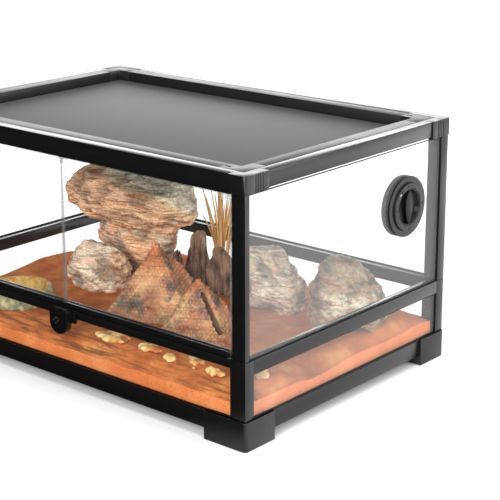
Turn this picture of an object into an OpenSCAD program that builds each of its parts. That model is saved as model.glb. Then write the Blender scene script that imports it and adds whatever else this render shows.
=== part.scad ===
// Low glass terrarium with a framed tank, two hinged front doors, a lift-off screen lid,
// a twist-out side port and a furnished sand floor.
// Millimetres, +Z up, +Y towards the back. The origin is on the floor, under the tank's centre.

/* [Tank] */
// Width over the corner mouldings
tank_w = 600; // [580:10:900]
// Depth over the corner mouldings
tank_d = 408; // [400:4:600]
// Height over the corner mouldings
tank_h = 325; // [315:5:500]
// Height of the fixed lower part, up to the top of the middle rails
lower_h = 108; // [106:1:118]

/* [Corner mouldings] */
// Height of each corner foot
foot_h = 36; // [35:0.5:40]
// Length of a foot along the front or back
foot_x = 64; // [40:1:90]
// Length of a foot along the side
foot_y = 53; // [40:1:80]
// Height of each top corner block
block_h = 22.5; // [21:0.5:26]
// Length of a front top block along the front
block_front_x = 25; // [24:0.5:26]
// Length of a back top block along the back
block_back_x = 56; // [40:1:80]
// Length of a top block along the side
block_y = 41; // [35:1:70]
// Radius of the mouldings' outer upright corner
moulding_r = 5; // [3:0.5:6]
// Number of grip grooves in each top block's side
grip_grooves = 4; // [2:1:4]

/* [Rails and posts] */
// Height of the base rails above the floor
rail_lift = 13; // [8:0.5:15]
// How far the base rails stand back from the mouldings' faces
base_inset = 3; // [2:0.25:3.25]
// How far the lower posts and middle rails stand back
lower_inset = 2; // [1.5:0.25:2.5]
// How far the front upper posts stand back
upper_inset = 2.8; // [2:0.1:3.2]
// How far the top rails stand back
top_inset = 1; // [0.5:0.25:2]
// Width of a lower post's front, from the moulding's face
lower_post_x = 24.6; // [23:0.2:28]
// Depth of a lower post's side, from the moulding's face
lower_post_y = 17.5; // [16:0.5:22]
// Width of an upper post's front, from the moulding's face
upper_post_x = 23; // [22:0.5:24]
// Depth of a front upper post's side, from the moulding's face
upper_post_front_y = 10; // [9.6:0.2:12]
// Depth of a back upper post's side, from the moulding's face
upper_post_back_y = 17; // [15:0.5:20]
// Height of the front middle rail
mid_front_h = 10; // [9.5:0.25:14]
// Height of the side and back middle rails
mid_side_h = 17; // [14:0.5:22]
// Thickness of the middle rails
mid_t = 14; // [12:0.5:18]
// Height of the front top rail with its lower lip
top_front_h = 24; // [23:0.5:28]
// Height of the side and back top rails
top_side_h = 20; // [19:0.5:22]
// Width of the top frame seen from above, from the moulding's face
frame_w = 15; // [14:0.5:18]
// Width of the shelf that carries the lid
shelf_w = 12; // [8:0.5:14]
// Thickness of that shelf
shelf_t = 3; // [2:0.25:4]

/* [Glass] */
// Thickness of the upright panes and doors
glass_t = 4; // [3:0.5:4]
// Thickness of the bottom pane
bottom_t = 5; // [4:0.5:6]
// Distance from the mouldings' faces to the panes' outer faces
glass_set = 4.8; // [4.6:0.1:5.4]
// Depth of the grooves that hold the panes
groove_d = 4.5; // [3:0.25:4.5]
// Gap between a pane and each wall of its groove
groove_gap = 0.15; // [0.05:0.05:0.3]
// Width of the black sealing bead round each pane
bead_w = 1.3; // [0.8:0.1:2]

/* [Doors] */
// Height of a door's bottom rail
door_rail_h = 7; // [6:0.5:12]
// Thickness of a door's bottom rail
door_rail_t = 9; // [8:0.5:10]
// Distance from the mouldings' face to the middle of the door glass
door_set = 7.5; // [7.5:0.1:8]
// Distance from a door's pivot to the post beside it
pivot_inset = 6; // [5.5:0.25:8]
// Gap between the two doors
meeting_gap = 1.5; // [1:0.25:4]
// Gap between a door's rail and the middle rail
door_lift = 0.5; // [0.4:0.1:2]
// Radius of the pivot pins
pin_r = 1.5; // [1:0.1:2]
// Running clearance round the pivot pins
pin_gap = 0.05; // [0.03:0.01:0.1]
// Outer radius of the pivot bushes
bush_r = 3; // [2.5:0.1:3.4]
// Length of the clear pivot shoe on a door's top corner
shoe_w = 9; // [6:0.5:14]
// Height of the clear pivot shoe
shoe_h = 8; // [6:0.5:14]

/* [Lock] */
// Width of the lock's body
lock_w = 31; // [30:0.5:40]
// Height of the lock's body
lock_h = 32.5; // [31:0.5:36]
// Thickness of the lock's body
lock_t = 9; // [8.5:0.25:10]
// Front wall of the lock's body
lock_wall = 3.1; // [2:0.1:3.4]
// Radius of the lock's key cylinder
cylinder_r = 5.5; // [5.4:0.1:6]
// Offset of the key cylinder from the doors' meeting line
cylinder_x = -3.6; // [-4.5:0.1:0]
// Height of the key cylinder under the body's top
cylinder_drop = 15.5; // [15:0.25:17]
// Radius of the circle that the drive pin runs on
drive_r = 4.24; // [3.6:0.02:4.26]
// Width of the bolt
bolt_w = 21.4; // [18:0.2:22]

/* [Lid] */
// Width of the lid's frame profile
lid_rail_w = 20; // [16:0.5:30]
// Gap between the lid and the top frame
lid_gap = 0.6; // [0.4:0.1:1.5]
// Length of each leg of the lid's corner pieces
lid_corner = 39; // [30:1:60]
// Thickness of the metal screen
screen_t = 0.8; // [0.6:0.1:1.2]
// Height of the screen above the lid's underside
screen_lift = 1.7; // [1.5:0.1:4]

/* [Side port] */
// Distance from the tank's back to the port's centre
port_back = 92; // [80:1:160]
// Distance from the tank's top to the port's centre
port_drop = 100; // [75:1:140]
// Radius of the port's flange and nut
port_r = 39; // [38:0.5:46]
// Radius of the port's barrel, which passes through the pane
barrel_r = 33; // [32.5:0.25:35]
// Radius of the twist ring
ring_r = 30.5; // [29.5:0.25:31]
// Radius of the plug
plug_r = 24; // [23:0.25:26]
// Thickness of the flange outside the pane
flange_t = 3.6; // [3:0.2:5]
// How far the twist ring stands out of the flange
ring_out = 2.6; // [2:0.2:3.4]
// Thickness of the nut inside the pane
nut_t = 5.8; // [4:0.2:8]

/* [Floor and furnishings] */
// Height of the raked sand that the furnishings stand on
sand_z = 66; // [60:1:74]
// Height of the sand where it meets the front pane
sand_edge_z = 49; // [45:1:58]
// Height of the sand ridge over the raked level
ridge_h = 9; // [5:1:30]
// Half the base of the hide's large pyramid
large_half = 60; // [45:1:62]
// Height of the large pyramid
large_h = 90; // [60:2:110]
// Half the base of the hide's small pyramid
small_half = 48; // [35:1:50]
// Height of the small pyramid
small_h = 74; // [50:2:100]
// Radius of the feeding dish
dish_r = 50; // [35:1:52]
// Height of the feeding dish
dish_h = 20; // [14:1:30]
// Length of the grass blades
grass_l = 150; // [100:5:160]

/* [Hidden] */

$fn = 64;
half_w = tank_w / 2;
half_d = tank_d / 2;
over = 1;

// Distances from a moulding's face to the two walls of a pane's groove
groove_out = glass_set - groove_gap;
groove_in = glass_set + glass_t + groove_gap;
// A pane ends this far short of its groove's floor
edge_gap = 0.3;
bite = groove_d - edge_gap;

// Base rails: a groove for the pane, an inner lip, and a ledge for the bottom pane
lip_in = groove_in + 2;
ledge_in = lip_in + 13;
ledge_z = rail_lift + 7;
floor_z = ledge_z + bottom_t;
base_top = foot_h - 1;
base_groove_z = base_top - 7;
socket_z = floor_z + 1;

// Middle rails
mid_front_z = lower_h - mid_front_h;
mid_side_z = lower_h - mid_side_h;

// Top frame
lip_h = 3;
lip_inset = 2;
top_front_z = tank_h - top_front_h;
top_side_z = tank_h - top_side_h;
block_z = tank_h - block_h;
shelf_z = top_side_z + shelf_t;
post_top_gap = 0.5;
post_top = shelf_z - post_top_gap;

// Doors, drawn for the right-hand one
pivot_x = half_w - upper_post_x - pivot_inset;
pivot_y = door_set - half_d;
door_x0 = meeting_gap / 2;
door_z0 = lower_h + door_lift;
door_glass_z0 = door_z0 + 2;
shoe_cap = 1.4;
door_top_gap = 0.6;
door_glass_z1 = top_front_z - door_top_gap - shoe_cap;
door_tail = 2.4;
shoe_wall = 1.4;
bush_bore = pin_r + pin_gap;
low_bush_l = 4.7;
top_bush_l = 6;

// Lock
lock_top = lower_h;
lock_back_y = lower_inset - half_d;
cylinder_z = lock_top - cylinder_drop;
lock_back_wall = 1.4;
bolt_gap = 0.3;
bolt_t = lock_t - lock_wall - lock_back_wall - 4 * bolt_gap;
bolt_front_y = lock_back_y - lock_t + lock_wall + 2.5 * bolt_gap;
bolt_top = lock_top - bolt_gap;
drive_pin_r = cylinder_r - drive_r - 0.06;
drive_rise = drive_r * sin(45);
bolt_bottom = cylinder_z - drive_rise - 5;
ear_w = 10;

// Lid
lid_x = half_w - frame_w - lid_gap;
lid_y = half_d - frame_w - lid_gap;
screen_z = shelf_z + screen_lift;
screen_bite = 4;

// Port, on the right-hand upper pane
pane_x = half_w - glass_set;
port_y = half_d - port_back;
port_z = tank_h - port_drop;
ring_gap = 0.08;
barrel_wall = barrel_r - ring_r - ring_gap;
ring_seat_x = pane_x + flange_t - 2.4;
ring_face_x = pane_x + flange_t + ring_out;
plug_in_x = pane_x - glass_t - nut_t;
dish_depth = 4.5;

// Furnishings: their plan is drawn for a floor of layout_w by layout_d and stretched to fit this one
wall_x = half_w - glass_set - glass_t;
wall_y = half_d - glass_set - glass_t;
layout_w = 582.4;
layout_d = 390.4;
layout = min(2 * wall_x / layout_w, 2 * wall_y / layout_d);
hide_at = [13, -45];
hide_turn = 30;
small_offset = [73, -83];
course_h = 6;
cleft_w = 9;
cleft_d = 13;
dish_at = [-158, -139];
grass_at = [-14, 118];
ridge_at = [-255, 10];
ridge_r = [41, 70];
// Plan centre, plan half sizes and height of each rock
lower_slab_at = [-125, 66];
lower_slab_half = [74, 46];
lower_slab_h = 74;
slab_at = [-135, 58];
slab_half = [130, 62];
slab_h = 70;
slab_z = sand_z + lower_slab_h;
left_boulder_at = [-118, -26];
left_boulder_half = [54, 40];
left_boulder_h = 60;
layered_at = [124, 62];
layered_half = [58, 36];
layered_h = 76;
right_boulder_at = [240, 76];
right_boulder_half = [48, 66];
right_boulder_h = 86;

function clamp01(t) = min(1, max(0, t));
function ease(t) = clamp01(t) * clamp01(t) * (3 - 2 * clamp01(t));

module block(lo, hi) translate(lo) cube(hi - lo);
module both_sides() { children(); mirror([1, 0, 0]) children(); }

// Sections are drawn as [distance inwards from the moulding's face, height]
module along_front(x0, x1)
    translate([x0, -half_d, 0]) rotate([90, 0, 90]) linear_extrude(x1 - x0) children();
module along_back(x0, x1) mirror([0, 1, 0]) along_front(x0, x1) children();
module along_left(y0, y1)
    translate([-half_w, y1, 0]) rotate([90, 0, 0]) linear_extrude(y1 - y0) children();
module along_right(y0, y1) mirror([1, 0, 0]) along_left(y0, y1) children();

// A corner piece is drawn for the front left corner, as [inwards along X, inwards along Y]
module mirrored(back, right)
    mirror([right ? 1 : 0, 0, 0]) mirror([0, back ? 1 : 0, 0]) children();
module at_corner(back, right) mirrored(back, right) translate([-half_w, -half_d, 0]) children();

module rounded_l(leg_x, leg_y, w)
    difference() {
        union() {
            square([leg_x, w]);
            square([w, leg_y]);
        }
        difference() {
            translate([-over, -over]) square(moulding_r + over);
            translate([moulding_r, moulding_r]) circle(moulding_r);
        }
    }

// Feet
module foot()
    difference() {
        linear_extrude(foot_h) rounded_l(foot_x, foot_y, ledge_in);
        block([lip_in, lip_in, ledge_z], [foot_x + over, foot_y + over, foot_h + over]);
        block([lower_post_x - groove_d, groove_out, base_groove_z],
              [foot_x + over, groove_in, foot_h + over]);
        block([groove_out, lower_post_y - groove_d, base_groove_z],
              [groove_in, foot_y + over, foot_h + over]);
        block([lower_inset, lower_inset, socket_z], [lower_post_x, lower_post_y, foot_h + over]);
    }
module front_feet() color("#151516") for (right = [false, true]) at_corner(false, right) foot();
module back_feet() color("#151516") for (right = [false, true]) at_corner(true, right) foot();

// Base rails
module base_section()
    polygon([[base_inset, rail_lift], [ledge_in, rail_lift], [ledge_in, ledge_z], [lip_in, ledge_z],
        [lip_in, base_top - 1], [groove_in, base_top - 1], [groove_in, base_groove_z],
        [groove_out, base_groove_z], [groove_out, base_top], [base_inset, base_top]]);
rail_end_x = half_w - foot_x;
rail_end_y = half_d - foot_y;
module base_rail_front() color("#1b1b1c") along_front(-rail_end_x, rail_end_x) base_section();
module base_rail_back() color("#1b1b1c") along_back(-rail_end_x, rail_end_x) base_section();
module base_rail_left() color("#1b1b1c") along_left(-rail_end_y, rail_end_y) base_section();
module base_rail_right() color("#1b1b1c") along_right(-rail_end_y, rail_end_y) base_section();

// Lower posts, with a groove for each of their two panes and for the feet of the upper panes
module lower_post(back)
    difference() {
        block([lower_inset, lower_inset, socket_z], [lower_post_x, lower_post_y, lower_h]);
        block([lower_post_x - groove_d, groove_out, socket_z - over],
              [lower_post_x + over, groove_in, lower_h + over]);
        block([groove_out, lower_post_y - groove_d, socket_z - over],
              [groove_in, lower_post_y + over, lower_h + over]);
        block([groove_out, upper_post_front_y - groove_d, lower_h - groove_d],
              [groove_in, lower_post_y, lower_h + over]);
        if (back) block([upper_post_x - groove_d, groove_out, lower_h - groove_d],
                        [lower_post_x, groove_in, lower_h + over]);
    }
module lower_post_front_left() color("#1b1b1c") at_corner(false, false) lower_post(false);
module lower_post_front_right() color("#1b1b1c") at_corner(false, true) lower_post(false);
module lower_post_back_left() color("#1b1b1c") at_corner(true, false) lower_post(true);
module lower_post_back_right() color("#1b1b1c") at_corner(true, true) lower_post(true);

// Middle rails
module pane_slot(z0, z1) translate([groove_out, z0]) square([groove_in - groove_out, z1 - z0]);
module mid_front_section()
    difference() {
        translate([lower_inset, mid_front_z]) square([mid_t, mid_front_h]);
        pane_slot(mid_front_z - over, mid_front_z + groove_d);
    }
module mid_side_section()
    difference() {
        translate([lower_inset, mid_side_z]) square([mid_t, mid_side_h]);
        pane_slot(mid_side_z - over, mid_side_z + groove_d);
        pane_slot(lower_h - groove_d, lower_h + over);
    }
mid_end_x = half_w - lower_post_x;
mid_end_y = half_d - lower_post_y;
module mid_rail_front() color("#1b1b1c")
    difference() {
        along_front(-mid_end_x, mid_end_x) mid_front_section();
        both_sides() translate([pivot_x, pivot_y, lower_h - low_bush_l])
            cylinder(r = bush_r, h = 2 * low_bush_l);
    }
module mid_rail_back() color("#1b1b1c") along_back(-mid_end_x, mid_end_x) mid_side_section();
module mid_rail_left() color("#1b1b1c") along_left(-mid_end_y, mid_end_y) mid_side_section();
module mid_rail_right() color("#1b1b1c") along_right(-mid_end_y, mid_end_y) mid_side_section();

// Upper posts
stile_step = 2.8;
step_d = 0.8;
module upper_post_front()
    difference() {
        block([upper_inset, upper_inset, lower_h], [upper_post_x, upper_post_front_y, post_top]);
        block([groove_out, upper_post_front_y - groove_d, lower_h - over],
              [groove_in, upper_post_front_y + over, post_top + over]);
        block([upper_post_x - stile_step, upper_inset - over, lower_h - over],
              [upper_post_x + over, upper_inset + step_d, block_z]);
    }
module upper_post_back()
    difference() {
        block([lower_inset, lower_inset, lower_h], [upper_post_x, upper_post_back_y, post_top]);
        block([groove_out, upper_post_back_y - groove_d, lower_h - over],
              [groove_in, upper_post_back_y + over, post_top + over]);
        block([upper_post_x - groove_d, groove_out, lower_h - over],
              [upper_post_x + over, groove_in, post_top + over]);
    }
module upper_post_front_left() color("#161617") at_corner(false, false) upper_post_front();
module upper_post_front_right() color("#161617") at_corner(false, true) upper_post_front();
module upper_post_back_left() color("#161617") at_corner(true, false) upper_post_back();
module upper_post_back_right() color("#161617") at_corner(true, true) upper_post_back();

// Top rails
module top_front_section()
    polygon([[top_inset + lip_inset, top_front_z], [frame_w, top_front_z], [frame_w, top_side_z],
        [frame_w + shelf_w, top_side_z], [frame_w + shelf_w, shelf_z], [frame_w, shelf_z],
        [frame_w, tank_h], [top_inset, tank_h], [top_inset, top_front_z + lip_h],
        [top_inset + lip_inset, top_front_z + lip_h]]);
module top_side_section()
    difference() {
        polygon([[top_inset, top_side_z], [frame_w + shelf_w, top_side_z], [frame_w + shelf_w, shelf_z],
            [frame_w, shelf_z], [frame_w, tank_h], [top_inset, tank_h]]);
        pane_slot(top_side_z - over, top_side_z + groove_d);
    }
top_end_y = half_d - block_y;
module top_rail_front() color("#101011")
    difference() {
        along_front(block_front_x - half_w, half_w - block_front_x) top_front_section();
        both_sides() translate([pivot_x, pivot_y, top_front_z - over])
            cylinder(r = bush_r, h = top_bush_l + over);
    }
module top_rail_back() color("#101011")
    along_back(block_back_x - half_w, half_w - block_back_x) top_side_section();
module top_rail_left() color("#101011") along_left(-top_end_y, top_end_y) top_side_section();
module top_rail_right() color("#101011") along_right(-top_end_y, top_end_y) top_side_section();

// Top corner blocks
groove_first = 17;
groove_step = 4;
grip_w = 1.6;
grip_d = 0.6;
module top_block(leg_x, post_y, back)
    difference() {
        union() {
            translate([0, 0, block_z]) linear_extrude(block_h) rounded_l(leg_x, block_y, frame_w);
            block([top_inset, top_inset, top_side_z], [leg_x, frame_w + shelf_w, shelf_z]);
            block([top_inset, frame_w + shelf_w, top_side_z], [frame_w + shelf_w, block_y, shelf_z]);
        }
        block([groove_out, post_y - groove_d, block_z - over],
              [groove_in, block_y + over, top_side_z + groove_d]);
        if (back) block([upper_post_x - groove_d, groove_out, block_z - over],
                        [leg_x + over, groove_in, top_side_z + groove_d]);
        block([back ? lower_inset : upper_inset, back ? lower_inset : upper_inset, block_z - over],
              [upper_post_x, post_y, post_top]);
        for (i = [0 : grip_grooves - 1])
            block([-over, groove_first + i * groove_step, block_z - over],
                  [grip_d, groove_first + i * groove_step + grip_w, tank_h + over]);
    }
module top_blocks_front() color("#2e2e30")
    for (right = [false, true]) at_corner(false, right) top_block(block_front_x, upper_post_front_y, false);
module top_blocks_back() color("#2e2e30")
    for (right = [false, true]) at_corner(true, right) top_block(block_back_x, upper_post_back_y, true);

// Panes
glass_colour = [0.8, 0.9, 0.88, 0.35];
pane_gap = 0.3;
module bottom_pane() color(glass_colour)
    block([lip_in + pane_gap - half_w, lip_in + pane_gap - half_d, ledge_z],
          [half_w - lip_in - pane_gap, half_d - lip_in - pane_gap, floor_z]);
module pane_front_back(post_x, z0, z1) color(glass_colour)
    block([post_x - bite - half_w, glass_set - half_d, z0],
          [half_w - post_x + bite, glass_set + glass_t - half_d, z1]);
module pane_side(front_y, back_y, z0, z1) color(glass_colour)
    block([-pane_x, front_y - bite - half_d, z0], [glass_t - pane_x, half_d - back_y + bite, z1]);
upper_pane_z0 = lower_h - bite;
upper_pane_z1 = top_side_z + bite;
module lower_pane_front() pane_front_back(lower_post_x, base_groove_z, mid_front_z + bite);
module lower_pane_back() mirror([0, 1, 0]) pane_front_back(lower_post_x, base_groove_z, mid_side_z + bite);
module lower_pane_left() pane_side(lower_post_y, lower_post_y, base_groove_z, mid_side_z + bite);
module lower_pane_right() mirror([1, 0, 0]) lower_pane_left();
module upper_pane_back() mirror([0, 1, 0]) pane_front_back(upper_post_x, upper_pane_z0, upper_pane_z1);
module upper_pane_left() pane_side(upper_post_front_y, upper_post_back_y, upper_pane_z0, upper_pane_z1);
port_hole_gap = 0.3;
module upper_pane_right()
    difference() {
        mirror([1, 0, 0]) upper_pane_left();
        color(glass_colour) translate([pane_x - glass_t - over, port_y, port_z]) rotate([0, 90, 0])
            cylinder(r = barrel_r + port_hole_gap, h = glass_t + 2 * over);
    }

// Sealing beads: a loop round each pane, on its outer face
bead_out = glass_set - 1.2;
module bead(a0, a1, z0, z1)
    linear_extrude(glass_set - bead_out)
        difference() {
            translate([a0, z0]) square([a1 - a0, z1 - z0]);
            translate([a0 + bead_w, z0 + bead_w]) square([a1 - a0 - 2 * bead_w, z1 - z0 - 2 * bead_w]);
        }
module bead_front(post_x, z0, z1)
    translate([0, glass_set - half_d, 0]) rotate([90, 0, 0]) bead(post_x - half_w, half_w - post_x, z0, z1);
module bead_left(front_y, back_y, z0, z1)
    translate([bead_out - half_w, 0, 0]) rotate([90, 0, 90]) bead(front_y - half_d, half_d - back_y, z0, z1);
module glazing_beads() color("#050505") {
    bead_front(lower_post_x, foot_h, mid_front_z);
    mirror([0, 1, 0]) {
        bead_front(lower_post_x, foot_h, mid_side_z);
        bead_front(upper_post_x, lower_h, block_z);
    }
    both_sides() {
        bead_left(lower_post_y, lower_post_y, foot_h, mid_side_z);
        bead_left(upper_post_front_y, upper_post_back_y, lower_h, block_z);
    }
}

// Door pivots: bushes in the frame, and a stop behind the doors' top corners
flange_h = 0.3;
flange_r = bush_r + 1;
module pivot_bushes() color("#c9c9c4")
    both_sides() {
        translate([pivot_x, pivot_y, 0]) difference() {
            union() {
                translate([0, 0, lower_h - low_bush_l]) cylinder(r = bush_r, h = low_bush_l);
                translate([0, 0, lower_h]) cylinder(r = flange_r, h = flange_h);
                translate([0, 0, top_front_z]) cylinder(r = bush_r, h = top_bush_l);
            }
            translate([0, 0, lower_h - low_bush_l - over])
                cylinder(r = bush_bore, h = tank_h - lower_h);
        }
    }
stop_gap = 0.3;
stop_y = pivot_y + glass_t / 2 + stop_gap;
module door_stop() color([0.85, 0.87, 0.88, 0.6]) {
    block([-8, stop_y, door_glass_z1 - 8], [8, stop_y + 2.4, top_front_z]);
    block([-8, stop_y + 2, top_front_z - 1.6], [8, frame_w - half_d, top_front_z]);
}

// Doors, drawn for the right and mirrored for the left
module door_glass()
    block([door_x0, pivot_y - glass_t / 2, door_glass_z0],
          [pivot_x + door_tail, pivot_y + glass_t / 2, door_glass_z1]);
door_groove = glass_t / 2 + groove_gap;
module door_rail()
    difference() {
        union() {
            block([door_x0, pivot_y - door_rail_t / 2, door_z0],
                  [pivot_x, pivot_y + door_rail_t / 2, door_z0 + door_rail_h]);
            translate([pivot_x, pivot_y, door_z0]) cylinder(r = door_rail_t / 2, h = door_rail_h);
            translate([pivot_x, pivot_y, door_z0 - 4.2]) cylinder(r = pin_r, h = 4.2 + over);
        }
        block([door_x0 - over, pivot_y - door_groove, door_glass_z0],
              [pivot_x + door_rail_t, pivot_y + door_groove, door_z0 + door_rail_h + over]);
    }
shoe_r = glass_t / 2 + shoe_wall;
module door_shoe()
    translate([pivot_x, pivot_y, 0]) difference() {
        union() {
            block([-shoe_w, -shoe_r, door_glass_z1 + shoe_cap - shoe_h],
                  [0, shoe_r, door_glass_z1 + shoe_cap]);
            translate([0, 0, door_glass_z1 + shoe_cap - shoe_h]) cylinder(r = shoe_r, h = shoe_h);
            translate([0, 0, door_glass_z1])
                cylinder(r = pin_r, h = shoe_cap + door_top_gap + top_bush_l - 1);
        }
        block([-shoe_w - over, -glass_t / 2, door_glass_z1 - shoe_h],
              [shoe_r + over, glass_t / 2, door_glass_z1]);
    }
module right_door_glass() color(glass_colour) door_glass();
module right_door_rail() color("#1b1b1c") door_rail();
module right_door_shoe() color([0.85, 0.87, 0.88, 0.6]) door_shoe();
module left_door_glass() color(glass_colour) mirror([1, 0, 0]) door_glass();
module left_door_rail() color("#1b1b1c") mirror([1, 0, 0]) door_rail();
module left_door_shoe() color([0.85, 0.87, 0.88, 0.6]) mirror([1, 0, 0]) door_shoe();

// Lock
module lock_outline()
    union() {
        translate([-lock_w / 2, lock_top - lock_h + lock_w / 2]) square([lock_w, lock_h - lock_w / 2]);
        translate([0, lock_top - lock_h + lock_w / 2]) circle(lock_w / 2);
    }
bolt_half = bolt_w / 2;
module lock_body() color("#0d0d0e")
    difference() {
        union() {
            translate([0, lock_back_y, 0]) rotate([90, 0, 0]) linear_extrude(lock_t) lock_outline();
            block([0, lock_back_y - 4, mid_front_z - 5.5], [lock_w / 2 + ear_w, lock_back_y, lock_top - 2]);
        }
        block([-bolt_half - bolt_gap, bolt_front_y - bolt_gap, bolt_bottom - bolt_gap],
              [bolt_half + bolt_gap, bolt_front_y + bolt_t + bolt_gap, lock_top + over]);
        translate([cylinder_x, lock_back_y - lock_t + lock_wall + over, cylinder_z]) rotate([90, 0, 0])
            cylinder(r = cylinder_r + pin_gap, h = lock_wall + 2 * over);
    }
cylinder_out = 0.3;
cylinder_back_y = bolt_front_y - bolt_gap;
lock_front_y = lock_back_y - lock_t;
module lock_cylinder() color("#3a3a3c")
    difference() {
        union() {
            translate([cylinder_x, cylinder_back_y, cylinder_z]) rotate([90, 0, 0])
                cylinder(r = cylinder_r, h = cylinder_back_y - lock_front_y + cylinder_out);
            translate([cylinder_x + drive_rise, bolt_front_y + bolt_t, cylinder_z - drive_rise])
                rotate([90, 0, 0]) cylinder(r = drive_pin_r, h = bolt_t + bolt_gap + over);
        }
        block([cylinder_x - 0.6, lock_front_y - cylinder_out - over, cylinder_z - 3],
              [cylinder_x + 0.6, lock_front_y + 1.5, cylinder_z + 3]);
    }
module lock_bolt() color("#8d8d90")
    difference() {
        block([-bolt_half, bolt_front_y, bolt_bottom], [bolt_half, bolt_front_y + bolt_t, bolt_top]);
        block([cylinder_x + drive_rise - drive_pin_r - 1, bolt_front_y - over,
               cylinder_z - drive_rise - drive_pin_r - bolt_gap],
              [cylinder_x + drive_r + drive_pin_r + 1, bolt_front_y + bolt_t + over,
               cylinder_z - drive_rise + drive_pin_r + bolt_gap]);
    }

// Side port
module on_port(x) translate([x, port_y, port_z]) rotate([0, 90, 0]) children();
module port_flange() color("#4a4a4c")
    difference() {
        union() {
            on_port(pane_x) cylinder(r = port_r, h = flange_t);
            on_port(plug_in_x) cylinder(r = barrel_r, h = pane_x - plug_in_x + over);
        }
        on_port(plug_in_x - over) cylinder(r = barrel_r - barrel_wall - 3, h = 60);
        on_port(ring_seat_x) cylinder(r = ring_r + ring_gap, h = 60);
    }
module port_nut() color("#9a9a9b")
    difference() {
        on_port(plug_in_x) cylinder(r = port_r, h = nut_t);
        on_port(plug_in_x - over) cylinder(r = barrel_r, h = nut_t + 2 * over);
    }
ring_t = ring_face_x - ring_seat_x - ring_gap;
dot_r = 1.1;
module port_ring() color("#6a6a6c")
    difference() {
        on_port(ring_seat_x + ring_gap) cylinder(r = ring_r, h = ring_t);
        on_port(ring_seat_x - over) cylinder(r = plug_r + ring_gap, h = ring_t + 4 * over);
        for (a = [-8, 8]) on_port(ring_face_x - 0.8)
            rotate([0, 0, 180 + a]) translate([(ring_r + plug_r) / 2, 0, 0]) cylinder(r = dot_r, h = 3);
        for (a = [-90, 90, 0]) on_port(ring_face_x - 0.8)
            rotate([0, 0, a]) translate([ring_r - 2, 0, 0]) cylinder(r = 1.6, h = 3, $fn = 24);
    }
grip_l = 44;
grip_half_w = 7;
grip_arc = (grip_l * grip_l / 4 + grip_half_w * grip_half_w) / (2 * grip_half_w);
module grip_outline()
    intersection() {
        translate([0, grip_arc - grip_half_w]) circle(grip_arc, $fn = 160);
        translate([0, grip_half_w - grip_arc]) circle(grip_arc, $fn = 160);
    }
module port_plug() color("#2a2a2b") {
    difference() {
        on_port(plug_in_x) cylinder(r = plug_r, h = ring_face_x - 0.4 - plug_in_x);
        on_port(ring_face_x - 0.4 - dish_depth)
            cylinder(r1 = plug_r - 4, r2 = plug_r - 1.5, h = dish_depth + over);
        on_port(plug_in_x - over) cylinder(r = plug_r - 2, h = ring_face_x - dish_depth - 2 - plug_in_x);
    }
    on_port(ring_face_x - 0.4 - dish_depth - over) linear_extrude(dish_depth + over) grip_outline();
}

// Lid
lid_h = tank_h - shelf_z;
module lid_section(w)
    difference() {
        translate([0, shelf_z]) square([w, lid_h]);
        translate([w - screen_bite, screen_z - groove_gap])
            square([screen_bite + over, screen_t + 2 * groove_gap]);
        translate([2, screen_z + screen_t + 2]) square([w - 4, lid_h - screen_lift - screen_t - 4]);
    }
module lid_along_front(x) translate([-x, -lid_y, 0]) rotate([90, 0, 90]) linear_extrude(2 * x) children();
module lid_along_left(y) translate([-lid_x, y, 0]) rotate([90, 0, 0]) linear_extrude(2 * y) children();
module lid_frame() color("#8c8c8e") {
    for (s = [0, 1]) mirror([0, s, 0]) lid_along_front(lid_x - lid_corner) lid_section(lid_rail_w);
    both_sides() lid_along_left(lid_y - lid_corner) lid_section(lid_rail_w);
}
tab_l = 8;
tab_w = 2.4;
module lid_corner_piece()
    difference() {
        translate([0, 0, shelf_z]) linear_extrude(lid_h) union() {
            square([lid_corner, lid_rail_w]);
            square([lid_rail_w, lid_corner]);
        }
        block([lid_rail_w - screen_bite, lid_rail_w - screen_bite, screen_z - groove_gap],
              [lid_corner + over, lid_corner + over, screen_z + screen_t + groove_gap]);
        block([lid_corner - tab_l - 4, (lid_rail_w - tab_w) / 2, tank_h - 1.5],
              [lid_corner - 4, (lid_rail_w + tab_w) / 2, tank_h + over]);
    }
module lid_corners() color("#6f6f71")
    for (back = [false, true], right = [false, true])
        mirrored(back, right) translate([-lid_x, -lid_y, 0]) lid_corner_piece();
screen_x = lid_x - lid_rail_w + screen_bite - edge_gap;
screen_y = lid_y - lid_rail_w + screen_bite - edge_gap;
module lid_screen() color("#77787a")
    block([-screen_x, -screen_y, screen_z], [screen_x, screen_y, screen_z + screen_t]);

// Sand: one closed surface, level where the furnishings stand and lower along the glass.
// Its grid leaves out the four corner cells, where the posts stand.
sand_gap = 0.3;
sand_cells_x = 22;
sand_cells_y = 16;
sand_in_x = half_w - lip_in - sand_gap;
sand_in_y = half_d - lip_in - sand_gap;
sand_out_x = wall_x - sand_gap;
sand_out_y = wall_y - sand_gap;
notch_x = half_w - lower_post_x - sand_gap;
notch_y = half_d - lower_post_y - sand_gap;
sand_lip_z = base_top + sand_gap;
function hollow(x, y, at, r, d) = -d * ease(1 - norm([x, y] / layout - at) / r);
function ridge(x, y) = ridge_h
    * ease(1.15 - norm([(x / layout - ridge_at[0]) / ridge_r[0], (y / layout - ridge_at[1]) / ridge_r[1]]));
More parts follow.
